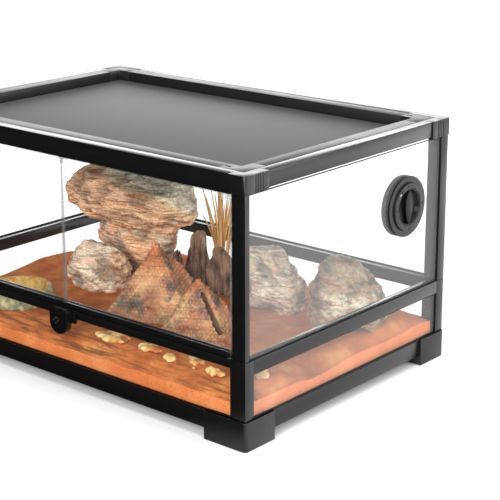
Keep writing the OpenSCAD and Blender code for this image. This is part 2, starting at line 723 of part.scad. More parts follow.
// Widths of the slopes down to the glass: wide at the back, the left and the free right front
front_slope = 18;
back_slope = 60;
left_slope = 40;
function right_slope(y) = 12 + 28 * ease(-y / 50) * ease((y + 120) / 40);
function wall_fall(x, y) = (sand_edge_z - sand_z)
    * (1 - ease(min((sand_out_y + y) / front_slope, (sand_out_y - y) / back_slope,
        (sand_out_x + x) / left_slope, (sand_out_x - x) / right_slope(y))));
function ground(x, y) = sand_z + wall_fall(x, y) + ridge(x, y)
    + hollow(x, y, [-50, -150], 55, 8) + hollow(x, y, [250, -55], 68, 8);
function grid_line(i, cells, notch, edge) =
    i == 0 ? -edge : i == cells ? edge : notch * sin(180 * (i - 1) / (cells - 2) - 90);
function grid_point(i, j) =
    [grid_line(i, sand_cells_x, notch_x, sand_out_x), grid_line(j, sand_cells_y, notch_y, sand_out_y)];
function between(v, limit) = min(limit, max(-limit, v));
// The outline's grid points, anticlockwise from the front left notch
function rim() = concat([for (i = [1 : sand_cells_x - 1]) [i, 0]],
    [for (j = [1 : sand_cells_y - 1]) [sand_cells_x, j]],
    [for (i = [sand_cells_x - 1 : -1 : 1]) [i, sand_cells_y]],
    [for (j = [sand_cells_y - 1 : -1 : 1]) [0, j]]);
function notched_rim() = concat([for (q = rim()) each
    q == [sand_cells_x, 1] ? [[sand_cells_x - 1, 1], q]
    : q == [sand_cells_x - 1, sand_cells_y] ? [[sand_cells_x - 1, sand_cells_y - 1], q]
    : q == [0, sand_cells_y - 1] ? [[1, sand_cells_y - 1], q] : [q]], [[1, 1]]);
module sand_bed() color("#c9652f") {
    loop = notched_rim();
    n = len(loop);
    row = sand_cells_x + 1;
    top = [for (j = [0 : sand_cells_y], i = [0 : sand_cells_x]) let (q = grid_point(i, j))
        [q[0], q[1], ground(q[0], q[1])]];
    foot = [for (q = loop) let (g = grid_point(q[0], q[1]))
        [between(g[0], sand_in_x), between(g[1], sand_in_y)]];
    a = len(top);
    points = concat(top, [for (g = foot) [g[0], g[1], sand_lip_z]], [for (g = foot) [g[0], g[1], floor_z]],
        [[0, 0, floor_z]]);
    top_faces = [for (j = [0 : sand_cells_y - 1], i = [0 : sand_cells_x - 1], k = [0, 1])
        if (!((i == 0 || i == sand_cells_x - 1) && (j == 0 || j == sand_cells_y - 1)))
        let (b = j * row + i)
        k == 0 ? [b, b + row, b + row + 1] : [b, b + row + 1, b + 1]];
    edge = [for (q = loop) q[1] * row + q[0]];
    wall_faces = [for (i = [0 : n - 1], k = [0, 1]) let (m = (i + 1) % n)
        k == 0 ? [edge[i], edge[m], a + m] : [edge[i], a + m, a + i]];
    foot_faces = [for (i = [0 : n - 1], k = [0, 1]) let (m = (i + 1) % n)
        k == 0 ? [a + i, a + m, a + n + m] : [a + i, a + n + m, a + n + i]];
    bottom_faces = [for (i = [0 : n - 1]) [a + n + i, a + n + (i + 1) % n, a + 2 * n]];
    polyhedron(points, concat(top_faces, wall_faces, foot_faces, bottom_faces), convexity = 4);
}

// Rocks: rings of points whose radius follows a profile, with waves for lumps and layers.
// Each is [centre, half sizes, bottom, height, seed, foot, belly, cap, layers, strata, lean of its top].
function rock_profile(t, foot, belly, cap) =
    t < belly ? foot + (1 - foot) * sin(90 * t / belly) : 1 - (1 - cap) * pow((t - belly) / (1 - belly), 2);
function rock_wave(a, t, seed, layers, strata) = 0.9
    + 0.06 * sin(3 * a + 40 * seed) + 0.04 * sin(5 * a - 70 * seed + 200 * t)
    + 0.02 * sin(9 * a + 25 * seed + 500 * t) + strata * sin(360 * layers * t + 40 * sin(2 * a + 30 * seed));
function rock_points(q, n, m) = [for (j = [0 : m], i = [0 : n - 1])
    let (t = j / m, a = 360 * i / n)
    let (r = rock_profile(t, q[5], q[6], q[7]) * rock_wave(a, t, q[4], q[8], q[9]))
    [layout * (q[0][0] + q[1][0] * r * cos(a) + q[10] * t), layout * (q[0][1] + q[1][1] * r * sin(a)),
     q[2] + q[3] * t]];
function rock_faces(start, n, m) = concat(
    [for (j = [0 : m - 1], i = [0 : n - 1], k = [0, 1])
        let (b = start + j * n + i, c = start + j * n + (i + 1) % n)
        k == 0 ? [b, b + n, c + n] : [b, c + n, c]],
    [[for (i = [0 : n - 1]) start + i]], [[for (i = [n - 1 : -1 : 0]) start + m * n + i]]);
module rocks(list, n, m)
    polyhedron([for (q = list) each rock_points(q, n, m)],
        [for (i = [0 : len(list) - 1]) each rock_faces(i * n * (m + 1), n, m)], convexity = 6);

module slab_rock() color("#b98a68")
    rocks([[slab_at, slab_half, slab_z, slab_h, 3, 0.6, 0.4, 0.72, 4, 0.035, 0]], 32, 12);
module lower_slab() color("#a5764f")
    rocks([[lower_slab_at, lower_slab_half, sand_z, lower_slab_h, 5, 0.6, 0.75, 0.8, 4, 0.04, 0]], 28, 12);
module boulders() color("#9a8d7c")
    rocks([[left_boulder_at, left_boulder_half, sand_z, left_boulder_h, 1, 0.74, 0.45, 0.45, 3, 0.03, 0],
        [layered_at, layered_half, sand_z, layered_h, 6, 0.88, 0.3, 0.5, 5, 0.03, -14],
        [right_boulder_at, right_boulder_half, sand_z, right_boulder_h, 9, 0.9, 0.25, 0.35, 2, 0.03, -24]],
        26, 10);

// Stepped hide: two overlapping pyramids of square courses, with a cleft in the small one
module courses(half, h) {
    n = floor(h / course_h);
    for (i = [0 : n - 1]) let (side = 2 * half * (1 - i / n))
        translate([-side / 2, -side / 2, 0]) cube([side, side, (i + 1) * h / n]);
}
ridge_slope = atan(small_h / (layout * small_half * sqrt(2)));
// The cleft follows the ridge at the small pyramid's front right corner, from near its tip
module cleft(top)
    rotate([0, 0, -45]) translate([layout * small_half * sqrt(2) * (1 - top), 0, small_h * top])
        rotate([0, ridge_slope, 0]) block([0, -cleft_w / 2, -cleft_d], [small_h * top, cleft_w / 2, cleft_d]);
module stepped_hide() color("#c9803f")
    translate([layout * hide_at[0], layout * hide_at[1], sand_z]) rotate([0, 0, hide_turn]) {
        courses(layout * large_half, large_h);
        translate([layout * small_offset[0], layout * small_offset[1], 0]) difference() {
            courses(layout * small_half, small_h);
            cleft(0.82);
        }
    }

// Feeding dish
dish_out = layout * dish_r;
module feeding_dish() color("#a9a06c")
    translate([layout * dish_at[0], layout * dish_at[1], sand_z]) rotate_extrude()
        polygon([[0, 0], [dish_out - 3, 0], [dish_out, 4], [dish_out - 4, dish_h], [dish_out - 10, dish_h],
            [dish_out - 16, 7], [dish_out - 24, 5], [0, 5]]);

// Bark, grass and loose stones
// Each bark spike is [x, y, half width, half depth, height]
bark_at = [[-17, 66, 23, 11, 78], [-35, 42, 12, 9, 54], [35, 53, 26, 9, 68]];
module bark() color("#7a6553")
    rocks([for (b = bark_at)
        [[b[0], b[1]], [b[2], b[3]], sand_z, b[4], b[4], 0.92, 0.3, 0.36, 1, 0.02, 4]], 14, 8);
blades = 15;
root_r = 7;
module grass_tuft() color("#d9ab6b")
    translate([layout * grass_at[0], layout * grass_at[1], sand_z]) {
        cylinder(r = root_r, h = 6);
        for (i = [0 : blades - 1]) let (turn = i * 137.5, lean = 3 + 9 * ((i * 7) % blades) / blades,
            l = grass_l * (0.72 + 0.28 * ((i * 4) % blades) / blades))
            rotate([0, 0, turn]) translate([3, 0, 3]) rotate([0, lean, 0])
                cylinder(r1 = 1.6, r2 = 0.5, h = l - 6, $fn = 4);
    }
// Each stone is [x, y, half width, half depth, height]
stones_at = [[49, -163, 33, 16, 8], [111, -162, 21, 11, 8], [149, -169, 15, 9, 8], [182, -156, 15, 9, 8],
    [224, -169, 19, 8, 8], [267, -138, 14, 12, 12], [194, -174, 5, 4, 4]];
module stones() color("#d9b56d")
    rocks([for (q = stones_at)
        [[q[0], q[1]], [q[2], q[3]], sand_z, q[4], q[2], 0.85, 0.4, 0.5, 1, 0, 0]], 12, 5);

front_feet();
back_feet();
base_rail_front();
base_rail_back();
base_rail_left();
base_rail_right();
lower_post_front_left();
lower_post_front_right();
lower_post_back_left();
lower_post_back_right();
mid_rail_front();
mid_rail_back();
mid_rail_left();
mid_rail_right();
upper_post_front_left();
upper_post_front_right();
upper_post_back_left();
upper_post_back_right();
top_rail_front();
top_rail_back();
top_rail_left();
top_rail_right();
top_blocks_front();
top_blocks_back();
bottom_pane();
lower_pane_front();
lower_pane_back();
lower_pane_left();
lower_pane_right();
upper_pane_back();
upper_pane_left();
upper_pane_right();
glazing_beads();
pivot_bushes();
door_stop();
port_flange();
port_nut();
lock_body();
sand_bed();
slab_rock();
lower_slab();
boulders();
stepped_hide();
feeding_dish();
bark();
grass_tuft();
stones();
port_ring();
port_plug();
lid_frame();
lid_corners();
lid_screen();
lock_cylinder();
lock_bolt();
left_door_glass();
left_door_rail();
left_door_shoe();
right_door_glass();
right_door_rail();
right_door_shoe();
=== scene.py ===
# %% [markdown]
# # A furnished glass terrarium
# The tank's frame, glass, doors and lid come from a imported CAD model, so every size is settled.
# This lesson gives them their looks: softened edges, glass, satin plastic, and a desert inside.

# %% Load the CAD model
import bpy
import bmesh
import math
from mathutils import Vector, Matrix, noise
from mathutils.bvhtree import BVHTree


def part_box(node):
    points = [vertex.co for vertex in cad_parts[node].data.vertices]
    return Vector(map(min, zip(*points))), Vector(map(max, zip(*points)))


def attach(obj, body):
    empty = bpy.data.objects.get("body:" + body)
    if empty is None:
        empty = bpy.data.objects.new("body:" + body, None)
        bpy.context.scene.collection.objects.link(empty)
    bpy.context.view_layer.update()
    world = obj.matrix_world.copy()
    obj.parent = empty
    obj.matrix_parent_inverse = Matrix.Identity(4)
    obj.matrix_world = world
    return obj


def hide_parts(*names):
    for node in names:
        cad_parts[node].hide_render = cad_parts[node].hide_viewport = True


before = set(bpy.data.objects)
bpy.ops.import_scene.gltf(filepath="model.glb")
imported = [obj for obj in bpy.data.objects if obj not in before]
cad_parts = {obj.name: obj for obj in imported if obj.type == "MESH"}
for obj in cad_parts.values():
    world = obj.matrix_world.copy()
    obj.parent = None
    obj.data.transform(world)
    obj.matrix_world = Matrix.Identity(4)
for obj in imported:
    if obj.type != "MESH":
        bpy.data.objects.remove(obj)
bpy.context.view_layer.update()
scene = bpy.context.scene

# %% [markdown]
# The photograph looks down at the front right corner through a fairly long lens.
# Azimuth, height and lens were fitted to the tank's straight edges. A small downward shift of the
# lens keeps the posts nearly upright, as a studio camera does.

# %% Camera
LENS_MM, SENSOR_MM, LENS_SHIFT = 106.9, 36, -0.1
DOWN_DEGREES, TURN_DEGREES = 15.21, 40.186


def placed(name, data):
    holder = bpy.data.objects.new(name, data)
    scene.collection.objects.link(holder)
    return holder


camera_data = bpy.data.cameras.new("studio camera")
camera_data.lens = LENS_MM
camera_data.sensor_width = SENSOR_MM
camera_data.shift_y = LENS_SHIFT
camera_data.clip_end = 50
camera = placed("studio camera", camera_data)
camera.location = (1.3065, -1.3877, 0.7219)
camera.rotation_euler = (math.radians(90 - DOWN_DEGREES), 0, math.radians(TURN_DEGREES))
scene.camera = camera
print("camera at", [round(v, 3) for v in camera.location])

# %% [markdown]
# Colours are written as sRGB hex values, the way a painter picks them, and one function turns
# them into Blender's linear light. Another adds a shader node with its inputs, its settings and, on
# a colour ramp, its stops. Every node type's name starts with ShaderNode, so that is written once.

# %% Colour and node helpers
MM = 0.001


def linear(colour):
    channels = [int(colour[i:i + 2], 16) / 255 for i in (1, 3, 5)]
    return (*[c / 12.92 if c <= 0.04045 else ((c + 0.055) / 1.055) ** 2.4 for c in channels], 1)


def add(tree, kind, inputs=None, stops=(), **settings):
    node = tree.nodes.new("ShaderNode" + kind)
    for at, (place, colour) in enumerate(stops):
        stop = node.color_ramp.elements[at] if at < 2 else node.color_ramp.elements.new(place)
        stop.position = place
        stop.color = linear(colour)
    for name, value in settings.items():
        setattr(node, name, value)
    for key, value in (inputs or {}).items():
        if isinstance(value, bpy.types.NodeSocket):
            tree.links.new(value, node.inputs[key])
        else:
            node.inputs[key].default_value = value
    return node


def blank_material(name):
    material = bpy.data.materials.new(name)
    material.use_nodes = True
    tree = material.node_tree
    return material, tree, tree.nodes["Principled BSDF"]


print("black plastic in linear light:", [round(v, 4) for v in linear("#0c0c0d")])

# %% [markdown]
# The frame is extruded PVC and moulded ABS, both black. Extrusions leave the die smooth, so they
# keep a satin sheen, while the moulded corners have a fine spark-eroded grain that scatters light.
# Two noises do this: a fine one for the grain and a broad one that varies the roughness a little.
# The lid is powder coated steel, whose orange peel makes its highlights soft, and the seals are
# extruded rubber, which hardly shines at all.

# %% Black plastics


def black_plastic(name, colour, roughness, grain_mm, grain_depth, specular):
    material, tree, shader = blank_material(name)
    place = add(tree, "TexCoord").outputs["Object"]
    grain = add(tree, "TexNoise", {"Vector": place, "Scale": 1 / (grain_mm * MM), "Detail": 3})
    broad = add(tree, "TexNoise", {"Vector": place, "Scale": 18, "Detail": 4})
    sheen = add(tree, "MapRange", {"Value": broad.outputs["Fac"],
                "To Min": roughness - 0.06, "To Max": roughness + 0.08})
    bump = add(tree, "Bump", {"Height": grain.outputs["Fac"], "Strength": 0.35,
               "Distance": grain_depth * MM})
    shader.inputs["Base Color"].default_value = linear(colour)
    shader.inputs["Specular IOR Level"].default_value = specular
    tree.links.new(sheen.outputs["Result"], shader.inputs["Roughness"])
    tree.links.new(bump.outputs["Normal"], shader.inputs["Normal"])
    return material


rail_pvc = black_plastic("extruded black PVC", "#0b0b0c", 0.24, 0.9, 0.008, 0.5)
corner_abs = black_plastic("moulded black ABS", "#0e0e0f", 0.32, 0.7, 0.04, 0.5)
lock_abs = black_plastic("moulded lock ABS", "#070708", 0.28, 0.6, 0.03, 0.4)
port_abs = black_plastic("grained port ABS", "#141415", 0.42, 0.8, 0.05, 0.5)
plug_abs = black_plastic("smooth port ABS", "#050506", 0.3, 1.4, 0.01, 0.2)
lid_paint = black_plastic("powder coated steel", "#1a1a1b", 0.42, 1.1, 0.06, 0.5)
seal_rubber = black_plastic("extruded sealing rubber", "#050505", 0.6, 0.5, 0.03, 0.3)
black_finishes = [rail_pvc, corner_abs, lock_abs, port_abs, plug_abs, lid_paint, seal_rubber]
print("black finishes:", [finish.name for finish in black_finishes])

# %% [markdown]
# CAD edges are perfectly sharp, and real ones never are: an extrusion has a corner of about half
# a millimetre that catches a line of light. Each frame part is copied, its flat faces are joined
# again, and a bevel rounds the edges. The copy then stands for the CAD part.

# %% Helpers that turn a bmesh into a piece
WELD = 1e-6
FLAT_ANGLE = math.radians(1)
SHARP_ANGLE = math.radians(35)


def to_piece(name, mesh, body, materials, replaced=(), smooth_angle=None):
    data = bpy.data.meshes.new(name)
    mesh.to_mesh(data)
    mesh.free()
    for material in materials:
        data.materials.append(material)
    piece = placed(name, data)
    if smooth_angle is None:
        data.shade_flat()
    else:
        data.shade_smooth()
        data.set_sharp_from_angle(angle=math.radians(smooth_angle))
    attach(piece, body)
    if replaced:
        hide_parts(*replaced)


def merged_copy(node):
    mesh = bmesh.new()
    mesh.from_mesh(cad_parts[node].data)
    bmesh.ops.remove_doubles(mesh, verts=mesh.verts, dist=WELD)
    return mesh


def rounded_copy(node, radius_mm, segments):
    mesh = merged_copy(node)
    bmesh.ops.dissolve_limit(mesh, angle_limit=FLAT_ANGLE, verts=mesh.verts, edges=mesh.edges)
    sharp = [e for e in mesh.edges if len(e.link_faces) == 2 and e.calc_face_angle() > SHARP_ANGLE]
    bmesh.ops.bevel(mesh, geom=sharp, offset=radius_mm * MM, offset_type="OFFSET", affect="EDGES",
                    segments=segments, profile=0.5, material=-1, clamp_overlap=True)
    return mesh


def softened(node, body, material, radius_mm, segments=2):
    mesh = rounded_copy(node, radius_mm, segments)
    to_piece("soft_" + node, mesh, body, [material], [node], 40)


print("edges sharper than", round(math.degrees(SHARP_ANGLE)), "degrees will be rounded")

# %% Soften the frame
RAIL_NAMES = ("base_rail", "mid_rail", "top_rail", "lower_post", "upper_post")
rails = [node for node in sorted(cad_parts) if node.startswith(RAIL_NAMES)]
corners = ["front_feet", "back_feet", "top_blocks_front", "top_blocks_back"]
for node in rails:
    softened(node, "tank", rail_pvc, 0.5)
for node in corners:
    softened(node, "tank", corner_abs, 0.7)
for side in ("left", "right"):
    softened(side + "_door_rail", side + "_door", rail_pvc, 0.4)
for node in ("lid_frame", "lid_corners"):
    softened(node, "lid", lid_paint, 0.5)
softened("lock_body", "tank", lock_abs, 0.7, 3)

# %% [markdown]
# Float glass is clear and barely green, and its cut edges look darker because light runs along
# inside the sheet. The right-hand panes face the bright studio, so they carry a pale veil, a painted
# reflection of that studio. A little opacity on each surface paints that reflection, and keeps the
# light falling on the sand.
# The door shoes and the stop are injection moulded polycarbonate, a little cloudy and softer.

# %% Glass


def float_glass(name, colour, veil, roughness):
    material, _, shader = blank_material(name)
    shader.inputs["Base Color"].default_value = linear(colour)
    shader.inputs["Roughness"].default_value = roughness
    shader.inputs["IOR"].default_value = 1.52
    shader.inputs["Alpha"].default_value = veil
    return material


front_glass = float_glass("clear float glass", "#f4f8f7", 0.006, 0.03)
# The side panes' whiter, less clear glass is a painted reflection of the bright studio.
side_glass = float_glass("float glass facing the light", "#f4f6f6", 0.075, 0.03)
cut_glass = float_glass("ground glass edge", "#6f7977", 0.5, 0.3)
clear_moulding = float_glass("clear polycarbonate", "#cfd6d8", 0.35, 0.12)
GROUND_EDGE_MM = 0.4


def pane(node, body, material, thin_axis):
    mesh = rounded_copy(node, GROUND_EDGE_MM, 1)
    for face in mesh.faces:
        face.material_index = 0 if abs(face.normal[thin_axis]) > 0.9 else 1
    to_piece("glass_" + node, mesh, body, [material, cut_glass], [node], 25)


for node in ("lower_pane_front", "lower_pane_back", "upper_pane_back"):
    pane(node, "tank", front_glass, 1)
for node in ("lower_pane_left", "upper_pane_left"):
    pane(node, "tank", front_glass, 0)
for node in ("lower_pane_right", "upper_pane_right"):
    pane(node, "tank", side_glass, 0)
for side in ("left", "right"):
    pane(side + "_door_glass", side + "_door", front_glass, 1)
    softened(side + "_door_shoe", side + "_door", clear_moulding, 0.3)
pane("bottom_pane", "tank", front_glass, 2)
softened("door_stop", "tank", clear_moulding, 0.3)
for node, finish in (("pivot_bushes", clear_moulding), ("glazing_beads", seal_rubber)):
    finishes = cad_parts[node].data.materials
    finishes.clear()
    finishes.append(finish)
print("glazed the tank and both doors")

# %% [markdown]
# Stone, bark and cast clay are never smooth. Each one begins as its plain CAD solid, which a
# Remesh modifier covers with an even skin of small squares. Every corner of that skin is then
# moved along its normal by a height in millimetres, as a sculptor works with a rasp. The height is
# also kept on the mesh as an attribute, so that a material can darken what lies deep.

# %% Sculpting helpers


def even_skin(mesh, voxel_mm, rounding=0):
    data = bpy.data.meshes.new("blank")
    mesh.to_mesh(data)
    mesh.free()
    blank = placed("blank", data)
    if rounding:
        soft = blank.modifiers.new("rounding", "SUBSURF")
        soft.levels = soft.render_levels = rounding
    skin = blank.modifiers.new("skin", "REMESH")
    skin.mode = "VOXEL"
    skin.voxel_size = voxel_mm * MM
    skinned = blank.evaluated_get(bpy.context.evaluated_depsgraph_get())
    even = bmesh.new()
    even.from_mesh(skinned.to_mesh())
    bpy.data.objects.remove(blank)
    return even


def smoothed(mesh, passes, sideways=True):
    for _ in range(passes):
        bmesh.ops.smooth_vert(mesh, verts=mesh.verts, factor=0.5, use_axis_x=sideways,
                              use_axis_y=sideways, use_axis_z=True)
    return mesh


def rasped(mesh, relief):
    mesh.normal_update()
    kept = mesh.verts.layers.float.new("relief")
    heights = [(vert, vert.normal.copy(), relief(vert.co / MM, vert.normal)) for vert in mesh.verts]
    for vert, normal, height in heights:
        vert.co += normal * height * MM
        vert[kept] = height
    return mesh


def carved(node, voxel_mm, rounding, passes, relief):
    return rasped(smoothed(even_skin(merged_copy(node), voxel_mm, rounding), passes), relief)


def ease(value):
    value = min(1, max(0, value))
    return value * value * (3 - 2 * value)


print("half of an eased step is", ease(0.5))

# %% [markdown]
# Two looks come back on every stone. Hollows are painted darker than ridges, as painted shade with the
# dust that gathers in them, and the relief attribute says where they are. The surface itself is grainy,
# which takes
# two noises in one bump: coarse crumbs with fine grit on them.

# %% Shade and grain of stone


# Painted shade, with dust: the deeper a point lies in the kept relief, the darker its colour.
def relief_shade(tree, colour, deep_mm, proud_mm, darkest):
    relief = add(tree, "Attribute", attribute_name="relief")
    light = add(tree, "MapRange", {"Value": relief.outputs["Fac"], "From Min": -deep_mm,
                "From Max": proud_mm, "To Min": darkest, "To Max": 1.15})
    shaded = add(tree, "Mix", {0: 1.0, 6: colour, 7: light.outputs["Result"]},
                 data_type="RGBA", blend_type="MULTIPLY")
    return shaded.outputs[2]


def grainy(tree, shader, place, coarse_mm, fine_mm, strength, depth_mm):
    coarse = add(tree, "TexNoise", {"Vector": place, "Scale": 1 / (coarse_mm * MM),
                 "Detail": 5, "Roughness": 0.65})
    fine = add(tree, "TexNoise", {"Vector": place, "Scale": 1 / (fine_mm * MM), "Detail": 2})
    both = add(tree, "Math", {0: fine.outputs["Fac"], 1: 0.4, 2: coarse.outputs["Fac"]},
               operation="MULTIPLY_ADD")
    bump = add(tree, "Bump", {"Height": both.outputs["Value"], "Strength": strength,
               "Distance": depth_mm * MM})
    tree.links.new(bump.outputs["Normal"], shader.inputs["Normal"])
    return fine.outputs["Fac"]


print("stone shading ready")

# %% [markdown]
# The rocks are sandstone and weathered limestone, laid down in beds. Water and wind have cut the
# soft beds back and left the hard ones proud. So the relief has four parts: broad lumps, beds that
# follow a tilted and gently bent plane, small crags, and pits where grains have fallen out.

# %% Relief of bedded rock


def bedded(tilt, bed_mm, bed_depth, lump, crag, seed):
    across = Vector(tilt).normalized()

    def relief(point, normal):
        place = point + Vector((37, 91, 53)) * seed
        bent = point.dot(across) + 8 * noise.noise(place / 42) + 2.5 * noise.noise(place / 11)
        bed = bent / bed_mm
        inside = 2 * (bed - math.floor(bed)) - 1
        hardness = noise.noise(Vector((math.floor(bed) * 1.7, seed, 0.5)) + place / 90)
        thin = math.sin(bent * 2 * math.pi / (bed_mm * 0.31))
        ledge = bed_depth * (hardness * 1.6 - abs(inside) ** 5) + 0.16 * bed_depth * thin
        crags = noise.multi_fractal(place / 16, 0.9, 2.1, 5) - 1
        pits = ease((noise.noise(place / 5) - 0.25) * 3)
        return lump * noise.noise(place / 34) + ledge * (1 - abs(normal.dot(across)) ** 2) \
            + crag * crags - 0.9 * pits

    return relief


sample = bedded((0, 0, 1), 10, 3, 6, 3, 1)
print("a flat bed stands out by", round(sample(Vector(), Vector((1, 0, 0))), 2), "mm at the origin")

# %% [markdown]
# The colour has beds too: a noise that is stretched along them, from rust red through tan and cream
# to grey green. A second set of colours shows in patches, or above one bed on the big slab. Thin
# dark seams and a speckle of grit lie over both.

# %% Colour of bedded rock


def bedded_rock(name, tilt_degrees, bed_mm, beds, patches, patch_share, deep_mm, bed_line=None):
    material, tree, shader = blank_material(name)
    place = add(tree, "TexCoord").outputs["Object"]
    along = add(tree, "Mapping", {"Vector": place,
                "Rotation": [math.radians(a) for a in tilt_degrees],
                "Scale": (1 / (46 * MM), 1 / (46 * MM), 1 / (bed_mm * MM))}).outputs["Vector"]
    streaks = add(tree, "TexNoise", {"Vector": along, "Scale": 1.0, "Detail": 7,
                  "Roughness": 0.68, "Distortion": 0.5})
    broad = add(tree, "TexNoise", {"Vector": place, "Scale": 1 / (38 * MM), "Detail": 4,
                "Roughness": 0.6})
    share = add(tree, "MapRange", {"Value": broad.outputs["Fac"],
                "From Min": patch_share - 0.05, "From Max": patch_share + 0.06}).outputs["Result"]
    banded = add(tree, "ValToRGB", {"Fac": streaks.outputs["Fac"]}, beds).outputs["Color"]
    if bed_line:
        rise = add(tree, "VectorMath", {0: place, 1: bed_line[0]}, operation="DOT_PRODUCT")
        wavy = add(tree, "Math", {0: broad.outputs["Fac"], 1: 34 * MM,
                   2: rise.outputs["Value"]}, operation="MULTIPLY_ADD")
        above = add(tree, "Math", {0: wavy.outputs["Value"], 1: bed_line[1] * MM},
                    operation="SUBTRACT")
        crest = add(tree, "Math", {0: above.outputs["Value"]}, operation="ABSOLUTE")
        near = add(tree, "MapRange", {"Value": crest.outputs["Value"], "From Min": 2.5 * MM,
                   "From Max": 7 * MM, "To Min": 1.0, "To Max": 0.0})
        banded = add(tree, "Mix", {0: near.outputs["Result"], 6: banded, 7: linear("#ffe4b8")},
                    data_type="RGBA").outputs[2]
        share = add(tree, "MapRange", {"Value": above.outputs["Value"], "From Min": 1 * MM,
                    "From Max": 4 * MM}).outputs["Result"]
    patched = add(tree, "ValToRGB", {"Fac": streaks.outputs["Fac"]}, patches)
    coloured = add(tree, "Mix", {0: share, 6: banded, 7: patched.outputs["Color"]},
                   data_type="RGBA").outputs[2]
    grit = grainy(tree, shader, place, 4.5, 2.2, 0.6, 1.4)
    speckle = add(tree, "MapRange", {"Value": grit, "From Min": 0.33, "From Max": 0.66,
                  "To Min": 0.74, "To Max": 1.2})
    thin = add(tree, "VectorMath", {0: along, 1: (1.7, 1.7, 2.6)}, operation="MULTIPLY")
    seams = add(tree, "TexNoise", {"Vector": thin.outputs["Vector"], "Scale": 1.0,
                "Detail": 3, "Distortion": 0.8})
    seam_dark = add(tree, "MapRange", {"Value": seams.outputs["Fac"], "From Min": 0.36,
                    "From Max": 0.5, "To Min": 0.5, "To Max": 1.0})
    worn = add(tree, "Math", {0: speckle.outputs["Result"], 1: seam_dark.outputs["Result"]},
               operation="MULTIPLY")
    gritty = add(tree, "Mix", {0: 1.0, 6: coloured, 7: worn.outputs["Value"]},
                 data_type="RGBA", blend_type="MULTIPLY")
    shaded = relief_shade(tree, gritty.outputs[2], deep_mm, 1.0, 0.52)
    tree.links.new(shaded, shader.inputs["Base Color"])
    shader.inputs["Roughness"].default_value = 0.92
    shader.inputs["Specular IOR Level"].default_value = 0.25
    return material


print("rock colours ready")

# %% Five stones
rust_beds = [(0.24, "#80482f"), (0.35, "#c87c52"), (0.44, "#eaae84"), (0.52, "#fad8b2"),
             (0.6, "#d88a5e"), (0.7, "#fce6c4")]
seam_beds = [(0.24, "#a8a48e"), (0.36, "#d2ceb6"), (0.46, "#f4efd8"), (0.54, "#dcc4a6"),
             (0.62, "#eef0e0"), (0.72, "#fff6df")]
fold_beds = [(0.24, "#97866a"), (0.36, "#cbbfa6"), (0.46, "#eee3c9"), (0.55, "#e4b89c"),
             (0.64, "#c9cfc0"), (0.74, "#fbf3e0")]
grey_beds = [(0.24, "#85806c"), (0.36, "#bcb79c"), (0.46, "#e4dcc0"), (0.54, "#c9a283"),
             (0.62, "#dcd8c2"), (0.72, "#fbeccb")]
pale_beds = [(0.24, "#7a6a54"), (0.36, "#aca18a"), (0.46, "#d6c8ab"), (0.55, "#cc9c80"),
             (0.64, "#a9aea0"), (0.74, "#ebe0c8")]
pitted_beds = [(0.24, "#463f33"), (0.36, "#756c5a"), (0.46, "#a3947a"), (0.55, "#a87e60"),
               (0.64, "#787e72"), (0.74, "#c9bb9e")]
# The slab's grey green beds lie above a cream seam that falls from its upper left to its right.
red_stone = bedded_rock("banded red sandstone", (14, -12, 0), 6, rust_beds, seam_beds, 0.54, 4.5,
                        ((0.215, 0.4, 1), 207))
rust_stone = bedded_rock("rusty sandstone", (8, 10, 0), 6, rust_beds, grey_beds, 0.54, 3)
fold_stone = bedded_rock("weathered pink sandstone", (70, 10, 30), 8, fold_beds, rust_beds, 0.55, 4)
pale_stone_rock = bedded_rock("pale bedded limestone", (30, 20, 0), 7, pale_beds, grey_beds, 0.56, 3.5)
pitted_stone = bedded_rock("pitted grey limestone", (40, -30, 20), 13, pitted_beds, grey_beds, 0.56, 4)
print("the slab is", red_stone.name, "and the lower slab", rust_stone.name)

# %% [markdown]
# The three boulders are one CAD node and one piece. Each face takes the stone of the boulder whose
# middle lies nearest, so the left one is pink, the layered one pale and the right one pitted.

# %% Slabs and boulders
BOULDER_MIDDLES_MM = [-118, 124, 240]
slab = carved("slab_rock", 1.7, 2, 2, bedded((0.28, -0.3, 1), 11, 3.8, 9, 3.4, 1))
to_piece("rock_slab", slab, "tank", [red_stone], ["slab_rock"], 180)
lower = carved("lower_slab", 1.6, 2, 2, bedded((0.1, 0.16, 1), 9, 3.0, 6, 2.6, 2))
to_piece("rock_lower_slab", lower, "tank", [rust_stone], ["lower_slab"], 180)
heap = carved("boulders", 1.7, 2, 2, bedded((0.5, 0.35, 0.75), 10, 2.8, 9, 4.0, 3))
for face in heap.faces:
    middle = face.calc_center_median().x / MM
    face.material_index = min(range(3), key=lambda i: abs(middle - BOULDER_MIDDLES_MM[i]))
print("the boulders have", len(heap.faces), "faces")
to_piece("rock_boulders", heap, "tank", [fold_stone, pale_stone_rock, pitted_stone],
         ["boulders"], 180)

# %% [markdown]
# The hide is cast clay, shaped like two weathered pyramids of small staggered blocks. The CAD solid
# has plain courses. Smoothing melts them into slopes, and the rasp then cuts the joints between
# blocks: a joint is wherever a point lies close to the edge of its block. Wear fades some away.

# %% Relief of the stepped hide
HIDE_TURN = math.radians(30)
COURSE_MM = 3.9
BLOCK_MM = 5.0
JOINT_MM = 1.0


